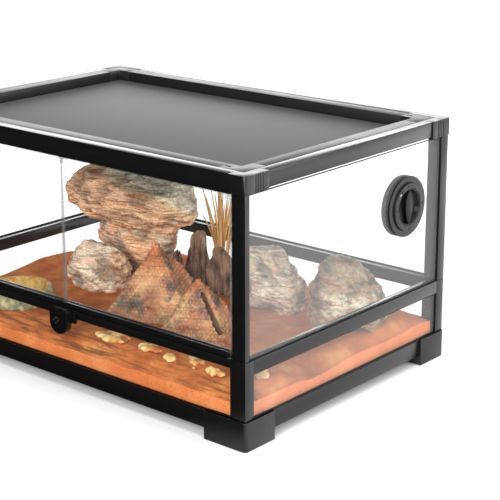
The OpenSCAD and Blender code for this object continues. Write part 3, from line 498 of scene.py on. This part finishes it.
def block_relief(point, normal):
    turned = Matrix.Rotation(-HIDE_TURN, 3, "Z") @ point
    facing = Matrix.Rotation(-HIDE_TURN, 3, "Z") @ normal
    along = turned.y if abs(facing.x) > abs(facing.y) else turned.x
    wobble = 0.8 * noise.noise(point / 9)
    course = (turned.z + wobble) / COURSE_MM
    row = math.floor(course)
    block = (along + 2 * wobble) / BLOCK_MM + (0.5 if row % 2 else 0)
    column = math.floor(block)
    to_joint = min(min(block - column, column + 1 - block) * BLOCK_MM,
                   min(course - row, row + 1 - course) * COURSE_MM)
    joint = 1 - ease(to_joint / JOINT_MM)
    side = 7.7 if abs(facing.x) > abs(facing.y) else 1.3
    proud = noise.noise(Vector((column * 3.3, row * 5.1, side)))
    kept = 0.35 + 0.65 * ease(noise.noise(point / 17) * 2 + 0.7)
    blocks = kept * (1.4 * proud - 1.35 * joint)
    return blocks + 2.2 * noise.noise(point / 26) + 0.5 * noise.noise(point / 4)


print("courses of", COURSE_MM, "mm and blocks of", BLOCK_MM, "mm")

# %% [markdown]
# Cast clay is matt and dusty. Its base colour drifts between terracotta and ochre, the tips were
# dry-brushed with orange, and grey soot lies in broad patches.

# %% Cast clay


def cast_clay(name):
    material, tree, shader = blank_material(name)
    place = add(tree, "TexCoord").outputs["Object"]
    broad = add(tree, "TexNoise", {"Vector": place, "Scale": 1 / (30 * MM), "Detail": 5,
                "Roughness": 0.6})
    warm = add(tree, "ValToRGB", {"Fac": broad.outputs["Fac"]},
               [(0.3, "#b06e4c"), (0.45, "#cb8e6c"), (0.56, "#d2a478"),
                (0.7, "#dcbb86")]).outputs["Color"]
    smoke = add(tree, "TexNoise", {"Vector": place, "Scale": 1 / (26 * MM), "Detail": 6,
                "Roughness": 0.62, "Distortion": 0.3})
    sooty = add(tree, "MapRange", {"Value": smoke.outputs["Fac"], "From Min": 0.5,
                "From Max": 0.62, "To Max": 0.85})
    height = add(tree, "SeparateXYZ", {"Vector": place})
    fired = add(tree, "MapRange", {"Value": height.outputs["Z"], "From Min": 112 * MM,
                "From Max": 146 * MM, "To Max": 0.8})
    warm = add(tree, "Mix", {0: fired.outputs["Result"], 6: warm, 7: linear("#dc824c")},
               data_type="RGBA").outputs[2]
    aged = add(tree, "Mix", {0: sooty.outputs["Result"], 6: warm, 7: linear("#6f645f")},
               data_type="RGBA").outputs[2]
    grit = grainy(tree, shader, place, 3.0, 1.2, 0.4, 0.7)
    speckle = add(tree, "MapRange", {"Value": grit, "From Min": 0.35, "From Max": 0.68,
                  "To Min": 0.82, "To Max": 1.14})
    gritty = add(tree, "Mix", {0: 1.0, 6: aged, 7: speckle.outputs["Result"]},
                 data_type="RGBA", blend_type="MULTIPLY")
    tree.links.new(relief_shade(tree, gritty.outputs[2], 2.2, 0.8, 0.4), shader.inputs["Base Color"])
    shader.inputs["Roughness"].default_value = 0.85
    shader.inputs["Specular IOR Level"].default_value = 0.3
    return material


clay = cast_clay("cast clay with dry-brushed ochre")
print("made", clay.name)

# %% [markdown]
# A crack runs down the small pyramid's front ridge. It is in the CAD solid already, and is darkened
# with painted shade. So the kept relief is lowered there by how far a point lies below the pyramid's
# plain side, and the clay's material darkens it into that painted shade.

# %% Sculpt the hide
hide = carved("stepped_hide", 1.0, 0, 16, block_relief)
SMALL_FOOT = Vector((13, -45, 66)) + Matrix.Rotation(HIDE_TURN, 3, "Z") @ Vector((73, -83, 0))
SMALL_HALF, SMALL_HEIGHT, CRACK_MM = 48, 74, 9
crack_shade_relief = hide.verts.layers.float["relief"]
for vert in hide.verts:
    inside = Matrix.Rotation(-HIDE_TURN, 3, "Z") @ (vert.co / MM - SMALL_FOOT)
    below = SMALL_HEIGHT * (1 - max(abs(inside.x), abs(inside.y)) / SMALL_HALF) - inside.z
    if inside.x > 0 and abs(inside.x + inside.y) < CRACK_MM:
        # Painted shade in the crack: a lower kept relief makes the clay darker there.
        vert[crack_shade_relief] -= 4 * ease((below - 3) / 4)
print("hide has", len(hide.faces), "faces")
to_piece("hide_pyramids", hide, "tank", [clay], ["stepped_hide"], 180)

# %% [markdown]
# The dish is moulded stone resin: a grey green rock outside and a yellow bowl inside, with a ragged
# line between them. The colour changes with the distance from the dish's middle, and a noise bends
# that distance. Faces that look up stay smooth, as a bowl is.

# %% Feeding dish


def dish_relief(point, normal):
    outside = ease(1 - normal.z)
    lumps = 3 * noise.noise(point / 16) + 1.6 * noise.noise(point / 6)
    return outside * lumps + 0.4 * noise.noise(point / 5)


def stone_resin(name):
    material, tree, shader = blank_material(name)
    place = add(tree, "TexCoord").outputs["Object"]
    low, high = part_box("feeding_dish")
    centre = [(low[i] + high[i]) / 2 for i in range(2)]
    centred = add(tree, "VectorMath", {0: place, 1: (*centre, 0)}, operation="SUBTRACT")
    flat = add(tree, "VectorMath", {0: centred.outputs["Vector"], 1: (1, 1, 0)},
               operation="MULTIPLY")
    radius = add(tree, "VectorMath", {0: flat.outputs["Vector"]}, operation="LENGTH")
    ragged = add(tree, "TexNoise", {"Vector": place, "Scale": 1 / (9 * MM), "Detail": 5})
    reach = add(tree, "Math", {0: ragged.outputs["Fac"], 1: 6 * MM,
                2: radius.outputs["Value"]}, operation="MULTIPLY_ADD")
    rim = add(tree, "MapRange", {"Value": reach.outputs["Value"], "From Min": 45 * MM,
              "From Max": 48 * MM})
    bowl = add(tree, "ValToRGB", {"Fac": ragged.outputs["Fac"]},
               [(0.35, "#c98a2e"), (0.5, "#e3b44c"), (0.65, "#ecd08a")]).outputs["Color"]
    rock = add(tree, "ValToRGB", {"Fac": ragged.outputs["Fac"]},
               [(0.32, "#6d6a4c"), (0.48, "#9c9a72"), (0.62, "#c9bf90")]).outputs["Color"]
    resin = add(tree, "Mix", {0: rim.outputs["Result"], 6: bowl, 7: rock}, data_type="RGBA")
    tree.links.new(relief_shade(tree, resin.outputs[2], 2, 2, 0.6), shader.inputs["Base Color"])
    grainy(tree, shader, place, 4.0, 1.3, 0.4, 0.8)
    shader.inputs["Roughness"].default_value = 0.7
    return material


dish = carved("feeding_dish", 1.4, 0, 3, dish_relief)
print("the dish has", len(dish.faces), "faces")
to_piece("stone_dish", dish, "tank", [stone_resin("moulded stone resin")],
         ["feeding_dish"], 180)

# %% [markdown]
# The bark is weathered dead wood, pale on its ridges and brown in its splits, and the deep splits are
# darkened further with painted shade. Its fibres run upwards, so both the relief and the colour are a
# noise that is squeezed across the grain.

# %% Bark spikes


def bark_relief(point, _):
    grain = Vector((point.x, point.y, point.z / 9))
    return 3.4 * noise.noise(grain / 7) + 1.8 * noise.noise(grain / 3) + 4 * noise.noise(point / 21)


def dead_wood(name):
    material, tree, shader = blank_material(name)
    place = add(tree, "TexCoord").outputs["Object"]
    upright = add(tree, "Mapping", {"Vector": place,
                  "Scale": (1 / (5 * MM), 1 / (5 * MM), 1 / (55 * MM))})
    fibres = add(tree, "TexNoise", {"Vector": upright.outputs["Vector"], "Scale": 1.0,
                 "Detail": 7, "Roughness": 0.7, "Distortion": 0.3})
    wood = add(tree, "ValToRGB", {"Fac": fibres.outputs["Fac"]},
               [(0.28, "#33231a"), (0.4, "#6e5140"), (0.5, "#9a8069"), (0.6, "#7c5540"),
                (0.72, "#cdb08e")]).outputs["Color"]
    # Painted shade: the deep splits of the relief are darkened.
    tree.links.new(relief_shade(tree, wood, 2.5, 2, 0.25), shader.inputs["Base Color"])
    bump = add(tree, "Bump", {"Height": fibres.outputs["Fac"], "Strength": 0.6, "Distance": 1 * MM})
    tree.links.new(bump.outputs["Normal"], shader.inputs["Normal"])
    shader.inputs["Roughness"].default_value = 0.9
    shader.inputs["Specular IOR Level"].default_value = 0.2
    return material


spikes = carved("bark", 1.2, 1, 2, bark_relief)
print("the bark has", len(spikes.faces), "faces")
to_piece("bark_spikes", spikes, "tank", [dead_wood("weathered dead wood")], ["bark"], 180)

# %% [markdown]
# Dry grass is a bundle of straws that lean outwards and bend under their own weight. Curves are the
# natural tool: each straw is one spline with a thin bevel, thick at the root and thinner at its
# tip, and the whole tuft becomes one mesh. Each straw turns on by the golden angle, as leaves do.

# %% Grass tuft
grass_low, grass_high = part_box("grass_tuft")
root = Vector(((grass_low[0] + grass_high[0]) / 2, (grass_low[1] + grass_high[1]) / 2, grass_low[2]))
STRAWS, STRAW_MM, STRAW_STEPS = 34, 1.3, 7
GOLDEN_ANGLE = 137.5
straws = bpy.data.curves.new("straws", "CURVE")
straws.dimensions = "3D"
straws.bevel_depth = STRAW_MM * MM
straws.bevel_resolution = 1
straws.use_fill_caps = True
for i in range(STRAWS):
    turn = math.radians(GOLDEN_ANGLE * i)
    lean = 0.03 + 0.15 * noise.cell(Vector((i + 0.5, 2.5, 0)))
    length = (grass_high[2] - grass_low[2]) * (0.74 + 0.24 * noise.cell(Vector((i + 0.5, 9.5, 0))))
    outwards = Vector((math.cos(turn), math.sin(turn), 0))
    foot = root + outwards * (1 + 4 * noise.cell(Vector((i + 0.5, 5.5, 0)))) * MM
    spline = straws.splines.new("POLY")
    spline.points.add(STRAW_STEPS)
    for step, point in enumerate(spline.points):
        t = step / STRAW_STEPS
        bend = lean * t + 0.6 * lean * t ** 3
        place = foot + length * (Vector((-0.06 * t, 0, t)) + outwards * bend)
        point.co = (*place, 1)
        point.radius = 1.2 - 0.7 * t ** 3
straw_object = placed("straws", straws)
tuft = bmesh.new()
tuft.from_mesh(straw_object.evaluated_get(bpy.context.evaluated_depsgraph_get()).to_mesh())
bpy.data.objects.remove(straw_object)
print("planted", STRAWS, "straws of", len(tuft.faces), "faces")

# %% [markdown]
# Dried straw is bleached, with brown and golden lengths, and a little waxy. The colour is a noise
# that is stretched along the straws.

# %% Straw colour
straw, straw_tree, straw_shader = blank_material("dried grass straw")
straw_place = add(straw_tree, "TexCoord").outputs["Object"]
straw_along = add(straw_tree, "Mapping", {"Vector": straw_place,
                  "Scale": (1 / (3 * MM), 1 / (3 * MM), 1 / (60 * MM))})
straw_tone = add(straw_tree, "TexNoise", {"Vector": straw_along.outputs["Vector"],
                 "Scale": 1.0, "Detail": 4})
straw_colour = add(straw_tree, "ValToRGB", {"Fac": straw_tone.outputs["Fac"]},
                   [(0.3, "#c98f4e"), (0.45, "#e0ac68"), (0.58, "#eec68c"), (0.7, "#f6dfb4")])
straw_tree.links.new(straw_colour.outputs["Color"], straw_shader.inputs["Base Color"])
straw_shader.inputs["Roughness"].default_value = 0.55
to_piece("grass_straws", tuft, "tank", [straw], ["grass_tuft"], 60)
print("made", straw.name)

# %% [markdown]
# The sand fills the lower tank as one body. Its top is a fine grid, and each grid point drops a ray
# onto the CAD solid to find the height there, so the mounds match. The rays start a hair inside the
# rim, so that none slips past it. Soft drifts come from noise, and against the glass they are higher.

# %% Sand bed
sand_low, sand_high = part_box("sand_bed")
SAND_STEP = 2.4 * MM
INSIDE_RIM = 0.9995
INNER_MM, GLASS_BAND_MM = (270, 172), 22
columns = round((sand_high[0] - sand_low[0]) / SAND_STEP)
rows = round((sand_high[1] - sand_low[1]) / SAND_STEP)
solid = merged_copy("sand_bed")
ground = BVHTree.FromBMesh(solid)
sand = bmesh.new()
bmesh.ops.create_grid(sand, x_segments=columns, y_segments=rows, size=1)
bmesh.ops.scale(sand, vec=(sand_high[0], sand_high[1], 1), verts=sand.verts)
outside = []
for vert in sand.verts:
    above = Vector((vert.co.x * INSIDE_RIM, vert.co.y * INSIDE_RIM, 1))
    found = ground.ray_cast(above, Vector((0, 0, -1)))[0]
    if found is None:
        outside.append(vert)
    else:
        vert.co.z = found.z
bmesh.ops.delete(sand, geom=outside, context="VERTS")
smoothed(sand, 8, sideways=False)
for vert in sand.verts:
    point = vert.co / MM
    drift = 1.0 + 1.6 * noise.noise(point / 48) + 0.9 * noise.noise(point / 17) \
        + 0.4 * noise.noise(point / 6)
    near_glass = ease(max(abs(point.x) - INNER_MM[0], abs(point.y) - INNER_MM[1]) / GLASS_BAND_MM)
    vert.co.z += (drift + near_glass * 2.6 * noise.noise(point / 36)) * MM
print("sand grid", columns, "by", rows)

# %% [markdown]
# The sand is one closed body. Its rim is extruded down the glass to the base rail's top, steps in
# behind the rail, goes down to the bottom pane and is closed there.

# %% Sides of the sand
RAIL_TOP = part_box("base_rail_front")[1][2] + 0.3 * MM
inner = [max(abs(v.co[axis]) for v in solid.verts if v.co.z < RAIL_TOP - MM) for axis in (0, 1)]


def sand_rim_down(height, limit):
    rim = [e for e in sand.edges if e.is_boundary]
    lowered = bmesh.ops.extrude_edge_only(sand, edges=rim)["geom"]
    for vert in (g for g in lowered if isinstance(g, bmesh.types.BMVert)):
        x, y = [max(-limit[axis], min(limit[axis], vert.co[axis])) for axis in (0, 1)]
        vert.co = (x, y, height)


sand_rim_down(RAIL_TOP, sand_high)
sand_rim_down(RAIL_TOP, inner)
sand_rim_down(sand_low[2], inner)
bmesh.ops.holes_fill(sand, edges=[e for e in sand.edges if e.is_boundary], sides=0)
bmesh.ops.recalc_face_normals(sand, faces=sand.faces)
solid.free()
print("sand has", len(sand.faces), "faces")

# %% [markdown]
# Desert sand is quartz with a skin of iron oxide: matt, red where it is fresh and paler on top of
# the drifts. Broad noise mixes those, a fine one draws the grains, and the faces that stand upright
# against the glass get their own brighter colours, painted light.

# %% Red sand
red_sand, sand_tree, sand_shader = blank_material("fine red desert sand")
sand_place = add(sand_tree, "TexCoord").outputs["Object"]
sand_broad = add(sand_tree, "TexNoise", {"Vector": sand_place, "Scale": 1 / (34 * MM),
                 "Detail": 5, "Roughness": 0.6})
sand_top = add(sand_tree, "ValToRGB", {"Fac": sand_broad.outputs["Fac"]},
               [(0.3, "#a55a2f"), (0.46, "#c06c39"), (0.58, "#d07f42"),
                (0.72, "#dd9a60")]).outputs["Color"]
# Against the glass the sand is lit from outside, so its upright faces are painted a brighter orange:
# painted light.
sand_lit_side = add(sand_tree, "ValToRGB", {"Fac": sand_broad.outputs["Fac"]},
                [(0.3, "#cc6d37"), (0.5, "#da7e44"), (0.7, "#e28e58")]).outputs["Color"]
facing = add(sand_tree, "SeparateXYZ", {"Vector": add(sand_tree, "NewGeometry").outputs["Normal"]})
upright = add(sand_tree, "MapRange", {"Value": facing.outputs["Z"], "From Min": 0.5,
              "From Max": 0.15})
# Real grains are 0.3 mm across, too fine for the picture, so they are drawn about 1.2 mm.
sand_grit = grainy(sand_tree, sand_shader, sand_place, 3.5, 1.2, 0.35, 0.6)
sand_speckle = add(sand_tree, "MapRange", {"Value": sand_grit, "From Min": 0.3,
                   "From Max": 0.7, "To Min": 0.76, "To Max": 1.24})
# Near the front glass old drifts show as long dark streaks.
drift_flat = add(sand_tree, "Mapping", {"Vector": sand_place,
                 "Scale": (1 / (70 * MM), 1 / (6 * MM), 1 / (6 * MM))})
drifts = add(sand_tree, "TexNoise", {"Vector": drift_flat.outputs["Vector"], "Scale": 1.0,
             "Detail": 6, "Roughness": 0.6, "Distortion": 0.6})
drift_dark = add(sand_tree, "MapRange", {"Value": drifts.outputs["Fac"], "From Min": 0.47,
                 "From Max": 0.6, "To Max": 0.85})
depth_in = add(sand_tree, "SeparateXYZ", {"Vector": sand_place})
by_glass = add(sand_tree, "MapRange", {"Value": depth_in.outputs["Y"], "From Min": -152 * MM,
               "From Max": -176 * MM, "To Min": 0.12, "To Max": 1.0})
streaked = add(sand_tree, "Math", {0: drift_dark.outputs["Result"],
               1: by_glass.outputs["Result"]}, operation="MULTIPLY")
sand_top = add(sand_tree, "Mix", {0: streaked.outputs["Value"], 6: sand_top,
               7: linear("#74452a")}, data_type="RGBA").outputs[2]
sand_mix = add(sand_tree, "Mix", {0: upright.outputs["Result"], 6: sand_top, 7: sand_lit_side},
               data_type="RGBA").outputs[2]
sand_gritty = add(sand_tree, "Mix", {0: 1.0, 6: sand_mix, 7: sand_speckle.outputs["Result"]},
                  data_type="RGBA", blend_type="MULTIPLY")
sand_tree.links.new(sand_gritty.outputs[2], sand_shader.inputs["Base Color"])
sand_shader.inputs["Roughness"].default_value = 0.95
sand_shader.inputs["Specular IOR Level"].default_value = 0.2
print("made", red_sand.name)
to_piece("sand_floor", sand, "tank", [red_sand], ["sand_bed"], 50)

# %% [markdown]
# Flat pieces of bleached sandstone lie half buried along the front. Wind has hollowed them, so
# their relief is deep for their size, and their middles are stained by the red sand.

# %% Loose stones


def stone_relief(point, _):
    hollows = ease(noise.noise(point / 12) * 3)
    return 1.8 * noise.noise(point / 7) + 1.0 * noise.noise(point / 3) - 2.4 * hollows


bleached, bleached_tree, bleached_shader = blank_material("bleached sandstone")
bleached_place = add(bleached_tree, "TexCoord").outputs["Object"]
stain = add(bleached_tree, "TexNoise", {"Vector": bleached_place, "Scale": 1 / (13 * MM),
            "Detail": 5})
bleached_colour = add(bleached_tree, "ValToRGB", {"Fac": stain.outputs["Fac"]},
                      [(0.34, "#c9713f"), (0.44, "#d99a58"), (0.52, "#e6bf78"),
                       (0.68, "#f0d79c")]).outputs["Color"]
bleached_tree.links.new(relief_shade(bleached_tree, bleached_colour, 2.5, 1, 0.55),
                        bleached_shader.inputs["Base Color"])
grainy(bleached_tree, bleached_shader, bleached_place, 3.0, 1.1, 0.5, 0.7)
bleached_shader.inputs["Roughness"].default_value = 0.9
loose = carved("stones", 1.0, 1, 2, stone_relief)
print("the loose stones have", len(loose.faces), "faces")
to_piece("loose_stones", loose, "tank", [bleached], ["stones"], 180)

# %% [markdown]
# The port is moulded ABS in four parts: a flange outside the pane, a nut inside it, a ring that
# twists and a plug with a pointed grip. The CAD parts have the right shapes, so they get small
# rounded edges and a grained finish, smoother and darker on the plug.

# %% Side port
softened("port_flange", "tank", port_abs, 0.6)
softened("port_nut", "tank", port_abs, 0.8)
softened("port_ring", "port_ring", port_abs, 0.35)
softened("port_plug", "port_plug", plug_abs, 0.4)
ring_low, ring_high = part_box("port_ring")
port_centre = Vector((ring_high[0], (ring_low[1] + ring_high[1]) / 2, (ring_low[2] + ring_high[2]) / 2))
print("port centre in millimetres:", [round(v / MM, 1) for v in port_centre])

# %% [markdown]
# A dash and a triangle on the ring show which way it turns. They are pad printed: a thin film of
# matt white paint, slightly worn, and a rubbery black one. Each mark is a flat circle of three or
# four sides, raised by the thickness of the paint and stood against the ring's face.

# %% Marks on the ring
DASH_ANGLE, ARROW_ANGLE = math.radians(136), math.radians(136 - 9)
MARK_RADIUS, PAINT_THICK = 27 * MM, 0.25 * MM
white_paint, paint_tree, paint_shader = blank_material("pad printed white paint")
paint_place = add(paint_tree, "TexCoord").outputs["Object"]
paint_wear = add(paint_tree, "TexNoise", {"Vector": paint_place, "Scale": 1 / (0.6 * MM)})
paint_colour = add(paint_tree, "ValToRGB", {"Fac": paint_wear.outputs["Fac"]},
                   [(0.3, "#b9b9b7"), (0.5, "#e4e4e2")])
paint_tree.links.new(paint_colour.outputs["Color"], paint_shader.inputs["Base Color"])
paint_shader.inputs["Roughness"].default_value = 0.5


def port_mark(name, segments, radius_mm, stretch, angle, material):
    mesh = bmesh.new()
    bmesh.ops.create_circle(mesh, cap_ends=True, segments=segments, radius=radius_mm * MM)
    bmesh.ops.scale(mesh, vec=(stretch, 1, 1), verts=mesh.verts)
    raised = bmesh.ops.extrude_face_region(mesh, geom=mesh.faces[:])["geom"]
    raised = [g for g in raised if isinstance(g, bmesh.types.BMVert)]
    bmesh.ops.translate(mesh, vec=(0, 0, PAINT_THICK), verts=raised)
    bmesh.ops.recalc_face_normals(mesh, faces=mesh.faces)
    stand = Matrix.Rotation(math.radians(90), 4, "Y") @ Matrix.Rotation(math.radians(45), 4, "Z")
    offset = Vector((0, math.cos(angle) * MARK_RADIUS, math.sin(angle) * MARK_RADIUS))
    bmesh.ops.transform(mesh, matrix=Matrix.Translation(port_centre + offset) @ stand, verts=mesh.verts)
    to_piece(name, mesh, "port_ring", [material])


port_mark("port_turn_dash", 4, 1.9, 0.35, DASH_ANGLE, white_paint)
port_mark("port_turn_arrow", 3, 2.6, 1, ARROW_ANGLE, seal_rubber)
print("marks at", round(MARK_RADIUS / MM), "mm from the ring's middle")

# %% [markdown]
# The lock takes a round key: behind its face sit a ring groove and four bright pins. The pins are
# turned steel, with fine bright marks, and the cylinder is zinc with a dark plating that still
# shines a little. Each pin is a small flattened ball whose front half stands out of the face.

# %% Lock face
dark_zinc = black_plastic("black zinc plating", "#161617", 0.34, 0.7, 0.02, 0.6)
dark_zinc.node_tree.nodes["Principled BSDF"].inputs["Metallic"].default_value = 0.4
pin_steel, steel_tree, steel_shader = blank_material("turned steel")
steel_place = add(steel_tree, "TexCoord").outputs["Object"]
steel_marks = add(steel_tree, "TexNoise", {"Vector": steel_place, "Scale": 1 / (0.4 * MM)})
steel_colour = add(steel_tree, "ValToRGB", {"Fac": steel_marks.outputs["Fac"]},
                   [(0.3, "#b4b4b6"), (0.7, "#e8e8ea")])
steel_tree.links.new(steel_colour.outputs["Color"], steel_shader.inputs["Base Color"])
steel_shader.inputs["Metallic"].default_value = 1.0
steel_shader.inputs["Roughness"].default_value = 0.3
softened("lock_cylinder", "lock_cylinder", dark_zinc, 0.3)
softened("lock_bolt", "lock_bolt", pin_steel, 0.3)
face_low, face_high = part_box("lock_cylinder")
lock_centre = Vector(((face_low[0] + face_high[0]) / 2, face_low[1], (face_low[2] + face_high[2]) / 2))
PINS, PIN_MM, PIN_CIRCLE_MM = 4, 0.7, 3.4
pins = bmesh.new()
for turn in range(PINS):
    angle = math.radians(360 * turn / PINS)
    dome = bmesh.ops.create_uvsphere(pins, u_segments=12, v_segments=8, radius=PIN_MM * MM)["verts"]
    bmesh.ops.scale(pins, vec=(1, 0.4, 1), verts=dome)
    reach = Vector((math.cos(angle), 0, math.sin(angle))) * PIN_CIRCLE_MM * MM
    bmesh.ops.translate(pins, vec=lock_centre + reach, verts=dome)
to_piece("lock_key_pins", pins, "lock_cylinder", [pin_steel], (), 180)
print("lock face at", [round(v / MM, 1) for v in lock_centre])

# %% [markdown]
# The lid's screen is woven steel wire with a grey coating. Real wires are 0.3 mm thick at 1.2 mm,
# far too fine for this picture, so the weave is drawn at 2.6 mm and kept faint.

# %% Lid screen
screen_wire, screen_tree, screen_shader = blank_material("woven steel screen")
screen_place = add(screen_tree, "TexCoord").outputs["Object"]
WIRE_PITCH = 2.6 * MM
# A Wave texture has a band every pi / 10 units at scale 1, which gives this scale for the pitch.
wire_scale = 2 * math.pi / (20 * WIRE_PITCH)
warp, weft = [add(screen_tree, "TexWave", {"Vector": screen_place, "Scale": wire_scale},
                  bands_direction=way).outputs["Fac"] for way in ("X", "Y")]
weave = add(screen_tree, "Math", {0: warp, 1: weft}, operation="MAXIMUM")
screen_colour = add(screen_tree, "ValToRGB", {"Fac": weave.outputs["Value"]},
                    [(0.2, "#39393a"), (0.9, "#58585a")])
screen_tree.links.new(screen_colour.outputs["Color"], screen_shader.inputs["Base Color"])
screen_bump = add(screen_tree, "Bump", {"Height": weave.outputs["Value"], "Strength": 0.3,
                  "Distance": 0.3 * MM})
screen_tree.links.new(screen_bump.outputs["Normal"], screen_shader.inputs["Normal"])
screen_shader.inputs["Roughness"].default_value = 0.62
screen_shader.inputs["Specular IOR Level"].default_value = 0.3
softened("lid_screen", "lid", screen_wire, 0.1)
print("wove the screen at", round(WIRE_PITCH / MM, 1), "mm")

# %% [markdown]
# The studio is white all round. Light Path shows that white to the camera, through glass and in
# reflections only, so it adds no light to the tank. A weaker ambient light does that by itself.
# Black plastic is nothing but reflections, so a studio lays black cards in front of a black frame:
# here the white that reflections see fades out towards the front left, and so does part of the
# light that comes from there.

# %% White studio and black card
CARD_SIDE = (-0.66, -0.75, 0)
CARD_SHADE = 0.6


def black_card(tree, path, place, card_from, card_to):
    towards = add(tree, "VectorMath", {0: place, 1: CARD_SIDE}, operation="DOT_PRODUCT")
    cover = add(tree, "MapRange", {"Value": towards.outputs["Value"], "From Min": card_from,
                "From Max": card_to, "To Max": 0.97}, interpolation_type="SMOOTHSTEP")
    seen = add(tree, "Math", {0: path.outputs["Is Diffuse Ray"], 1: CARD_SHADE,
               2: path.outputs["Is Glossy Ray"]}, operation="MULTIPLY_ADD")
    return add(tree, "Math", {0: seen.outputs["Value"], 1: cover.outputs["Result"]},
               operation="MULTIPLY").outputs["Value"]


def white_shown(tree, path, card):
    direct = add(tree, "Math", {0: path.outputs["Is Camera Ray"],
                 1: path.outputs["Is Transmission Ray"]}, operation="MAXIMUM")
    either = add(tree, "Math", {0: direct.outputs["Value"], 1: path.outputs["Is Glossy Ray"]},
                 operation="MAXIMUM")
    return add(tree, "Math", {0: either.outputs["Value"], 1: card}, operation="SUBTRACT",
               use_clamp=True).outputs["Value"]


print("the black card stands towards", CARD_SIDE)

# %% World
world = bpy.data.worlds.new("white studio")
scene.world = world
world.use_nodes = True
sky = world.node_tree
sky.nodes.clear()
AMBIENT = 0.8
sky_path = add(sky, "LightPath")
sky_card = black_card(sky, sky_path, add(sky, "TexCoord").outputs["Generated"], -0.25, 0.35)
uncovered = add(sky, "Math", {0: 1.0, 1: sky_card}, operation="SUBTRACT")
ambient = add(sky, "Math", {0: sky_path.outputs["Is Diffuse Ray"], 1: AMBIENT},
              operation="MULTIPLY")
shaded = add(sky, "Math", {0: ambient.outputs["Value"], 1: uncovered.outputs["Value"]},
             operation="MULTIPLY")
sky_shown = white_shown(sky, sky_path, sky_card)
sky_strength = add(sky, "Math", {0: sky_shown, 1: shaded.outputs["Value"]}, operation="MAXIMUM")
white_sky = add(sky, "Background", {"Color": linear("#ffffff"),
                "Strength": sky_strength.outputs["Value"]})
add(sky, "OutputWorld", {"Surface": white_sky.outputs[0]})
print("ambient light", AMBIENT)

# %% [markdown]
# The floor has to look white and still keep the tank's shadow. So near the tank it is lit by the
# lamps with a little help, and further out it fades to plain white.

# %% Floor
FLOOR_RADIUS = 12
LIT_WITHIN, WHITE_BEYOND = 0.55, 1.5
floor_mesh = bmesh.new()
bmesh.ops.create_circle(floor_mesh, cap_ends=True, segments=96, radius=FLOOR_RADIUS)
floor_data = bpy.data.meshes.new("studio floor")
floor_mesh.to_mesh(floor_data)
floor_mesh.free()
floor = placed("studio_floor", floor_data)
white_floor, floor_tree, floor_shader = blank_material("white studio floor")
floor_shader.inputs["Roughness"].default_value = 0.9
floor_shader.inputs["Specular IOR Level"].default_value = 0.0
floor_path = add(floor_tree, "LightPath")
floor_place = add(floor_tree, "TexCoord").outputs["Object"]
floor_card = black_card(floor_tree, floor_path, floor_place, -0.09, 0.06)
floor_colour = add(floor_tree, "Mix", {0: floor_card, 6: linear("#f4f4f4"),
                   7: linear("#000000")}, data_type="RGBA")
floor_tree.links.new(floor_colour.outputs[2], floor_shader.inputs["Base Color"])
away = add(floor_tree, "VectorMath", {0: floor_place}, operation="LENGTH")
fade = add(floor_tree, "MapRange", {"Value": away.outputs["Value"],
           "From Min": LIT_WITHIN, "From Max": WHITE_BEYOND, "To Min": 0.07, "To Max": 1.0},
           interpolation_type="SMOOTHSTEP")
floor_shown = white_shown(floor_tree, floor_path, floor_card)
glow = add(floor_tree, "Math", {0: floor_shown, 1: fade.outputs["Result"]}, operation="MULTIPLY")
floor_tree.links.new(glow.outputs["Value"], floor_shader.inputs["Emission Strength"])
floor_shader.inputs["Emission Color"].default_value = linear("#ffffff")
floor_data.materials.append(white_floor)
print("the floor is white beyond", WHITE_BEYOND, "m")

# %% [markdown]
# Four softboxes light the tank: a big one overhead, one at the right, one behind at the left that
# shines through the glass, and the strongest in front. Places and sizes are in metres, power in
# watts.

# %% Lamps


def softbox(name, place, aim, width, height, power):
    lamp = bpy.data.lights.new(name, "AREA")
    lamp.shape = "RECTANGLE"
    lamp.size, lamp.size_y = width, height
    lamp.energy = power
    holder = placed(name, lamp)
    holder.location = place
    holder.rotation_euler = (Vector(aim) - Vector(place)).to_track_quat("-Z", "Y").to_euler()


softbox("overhead softbox", (0.1, -0.2, 2.3), (0, 0, 0.1), 1.8, 1.8, 30)
softbox("right softbox", (2.3, 0.9, 1.0), (0.3, 0, 0.15), 1.4, 1.6, 20)
softbox("back left softbox", (-1.9, 2.2, 1.1), (0, 0, 0.3), 2.0, 1.2, 26)
softbox("front softbox", (1.0, -2.1, 1.1), (0, 0, 0.12), 1.6, 1.2, 56)
scene.view_settings.view_transform = "Standard"
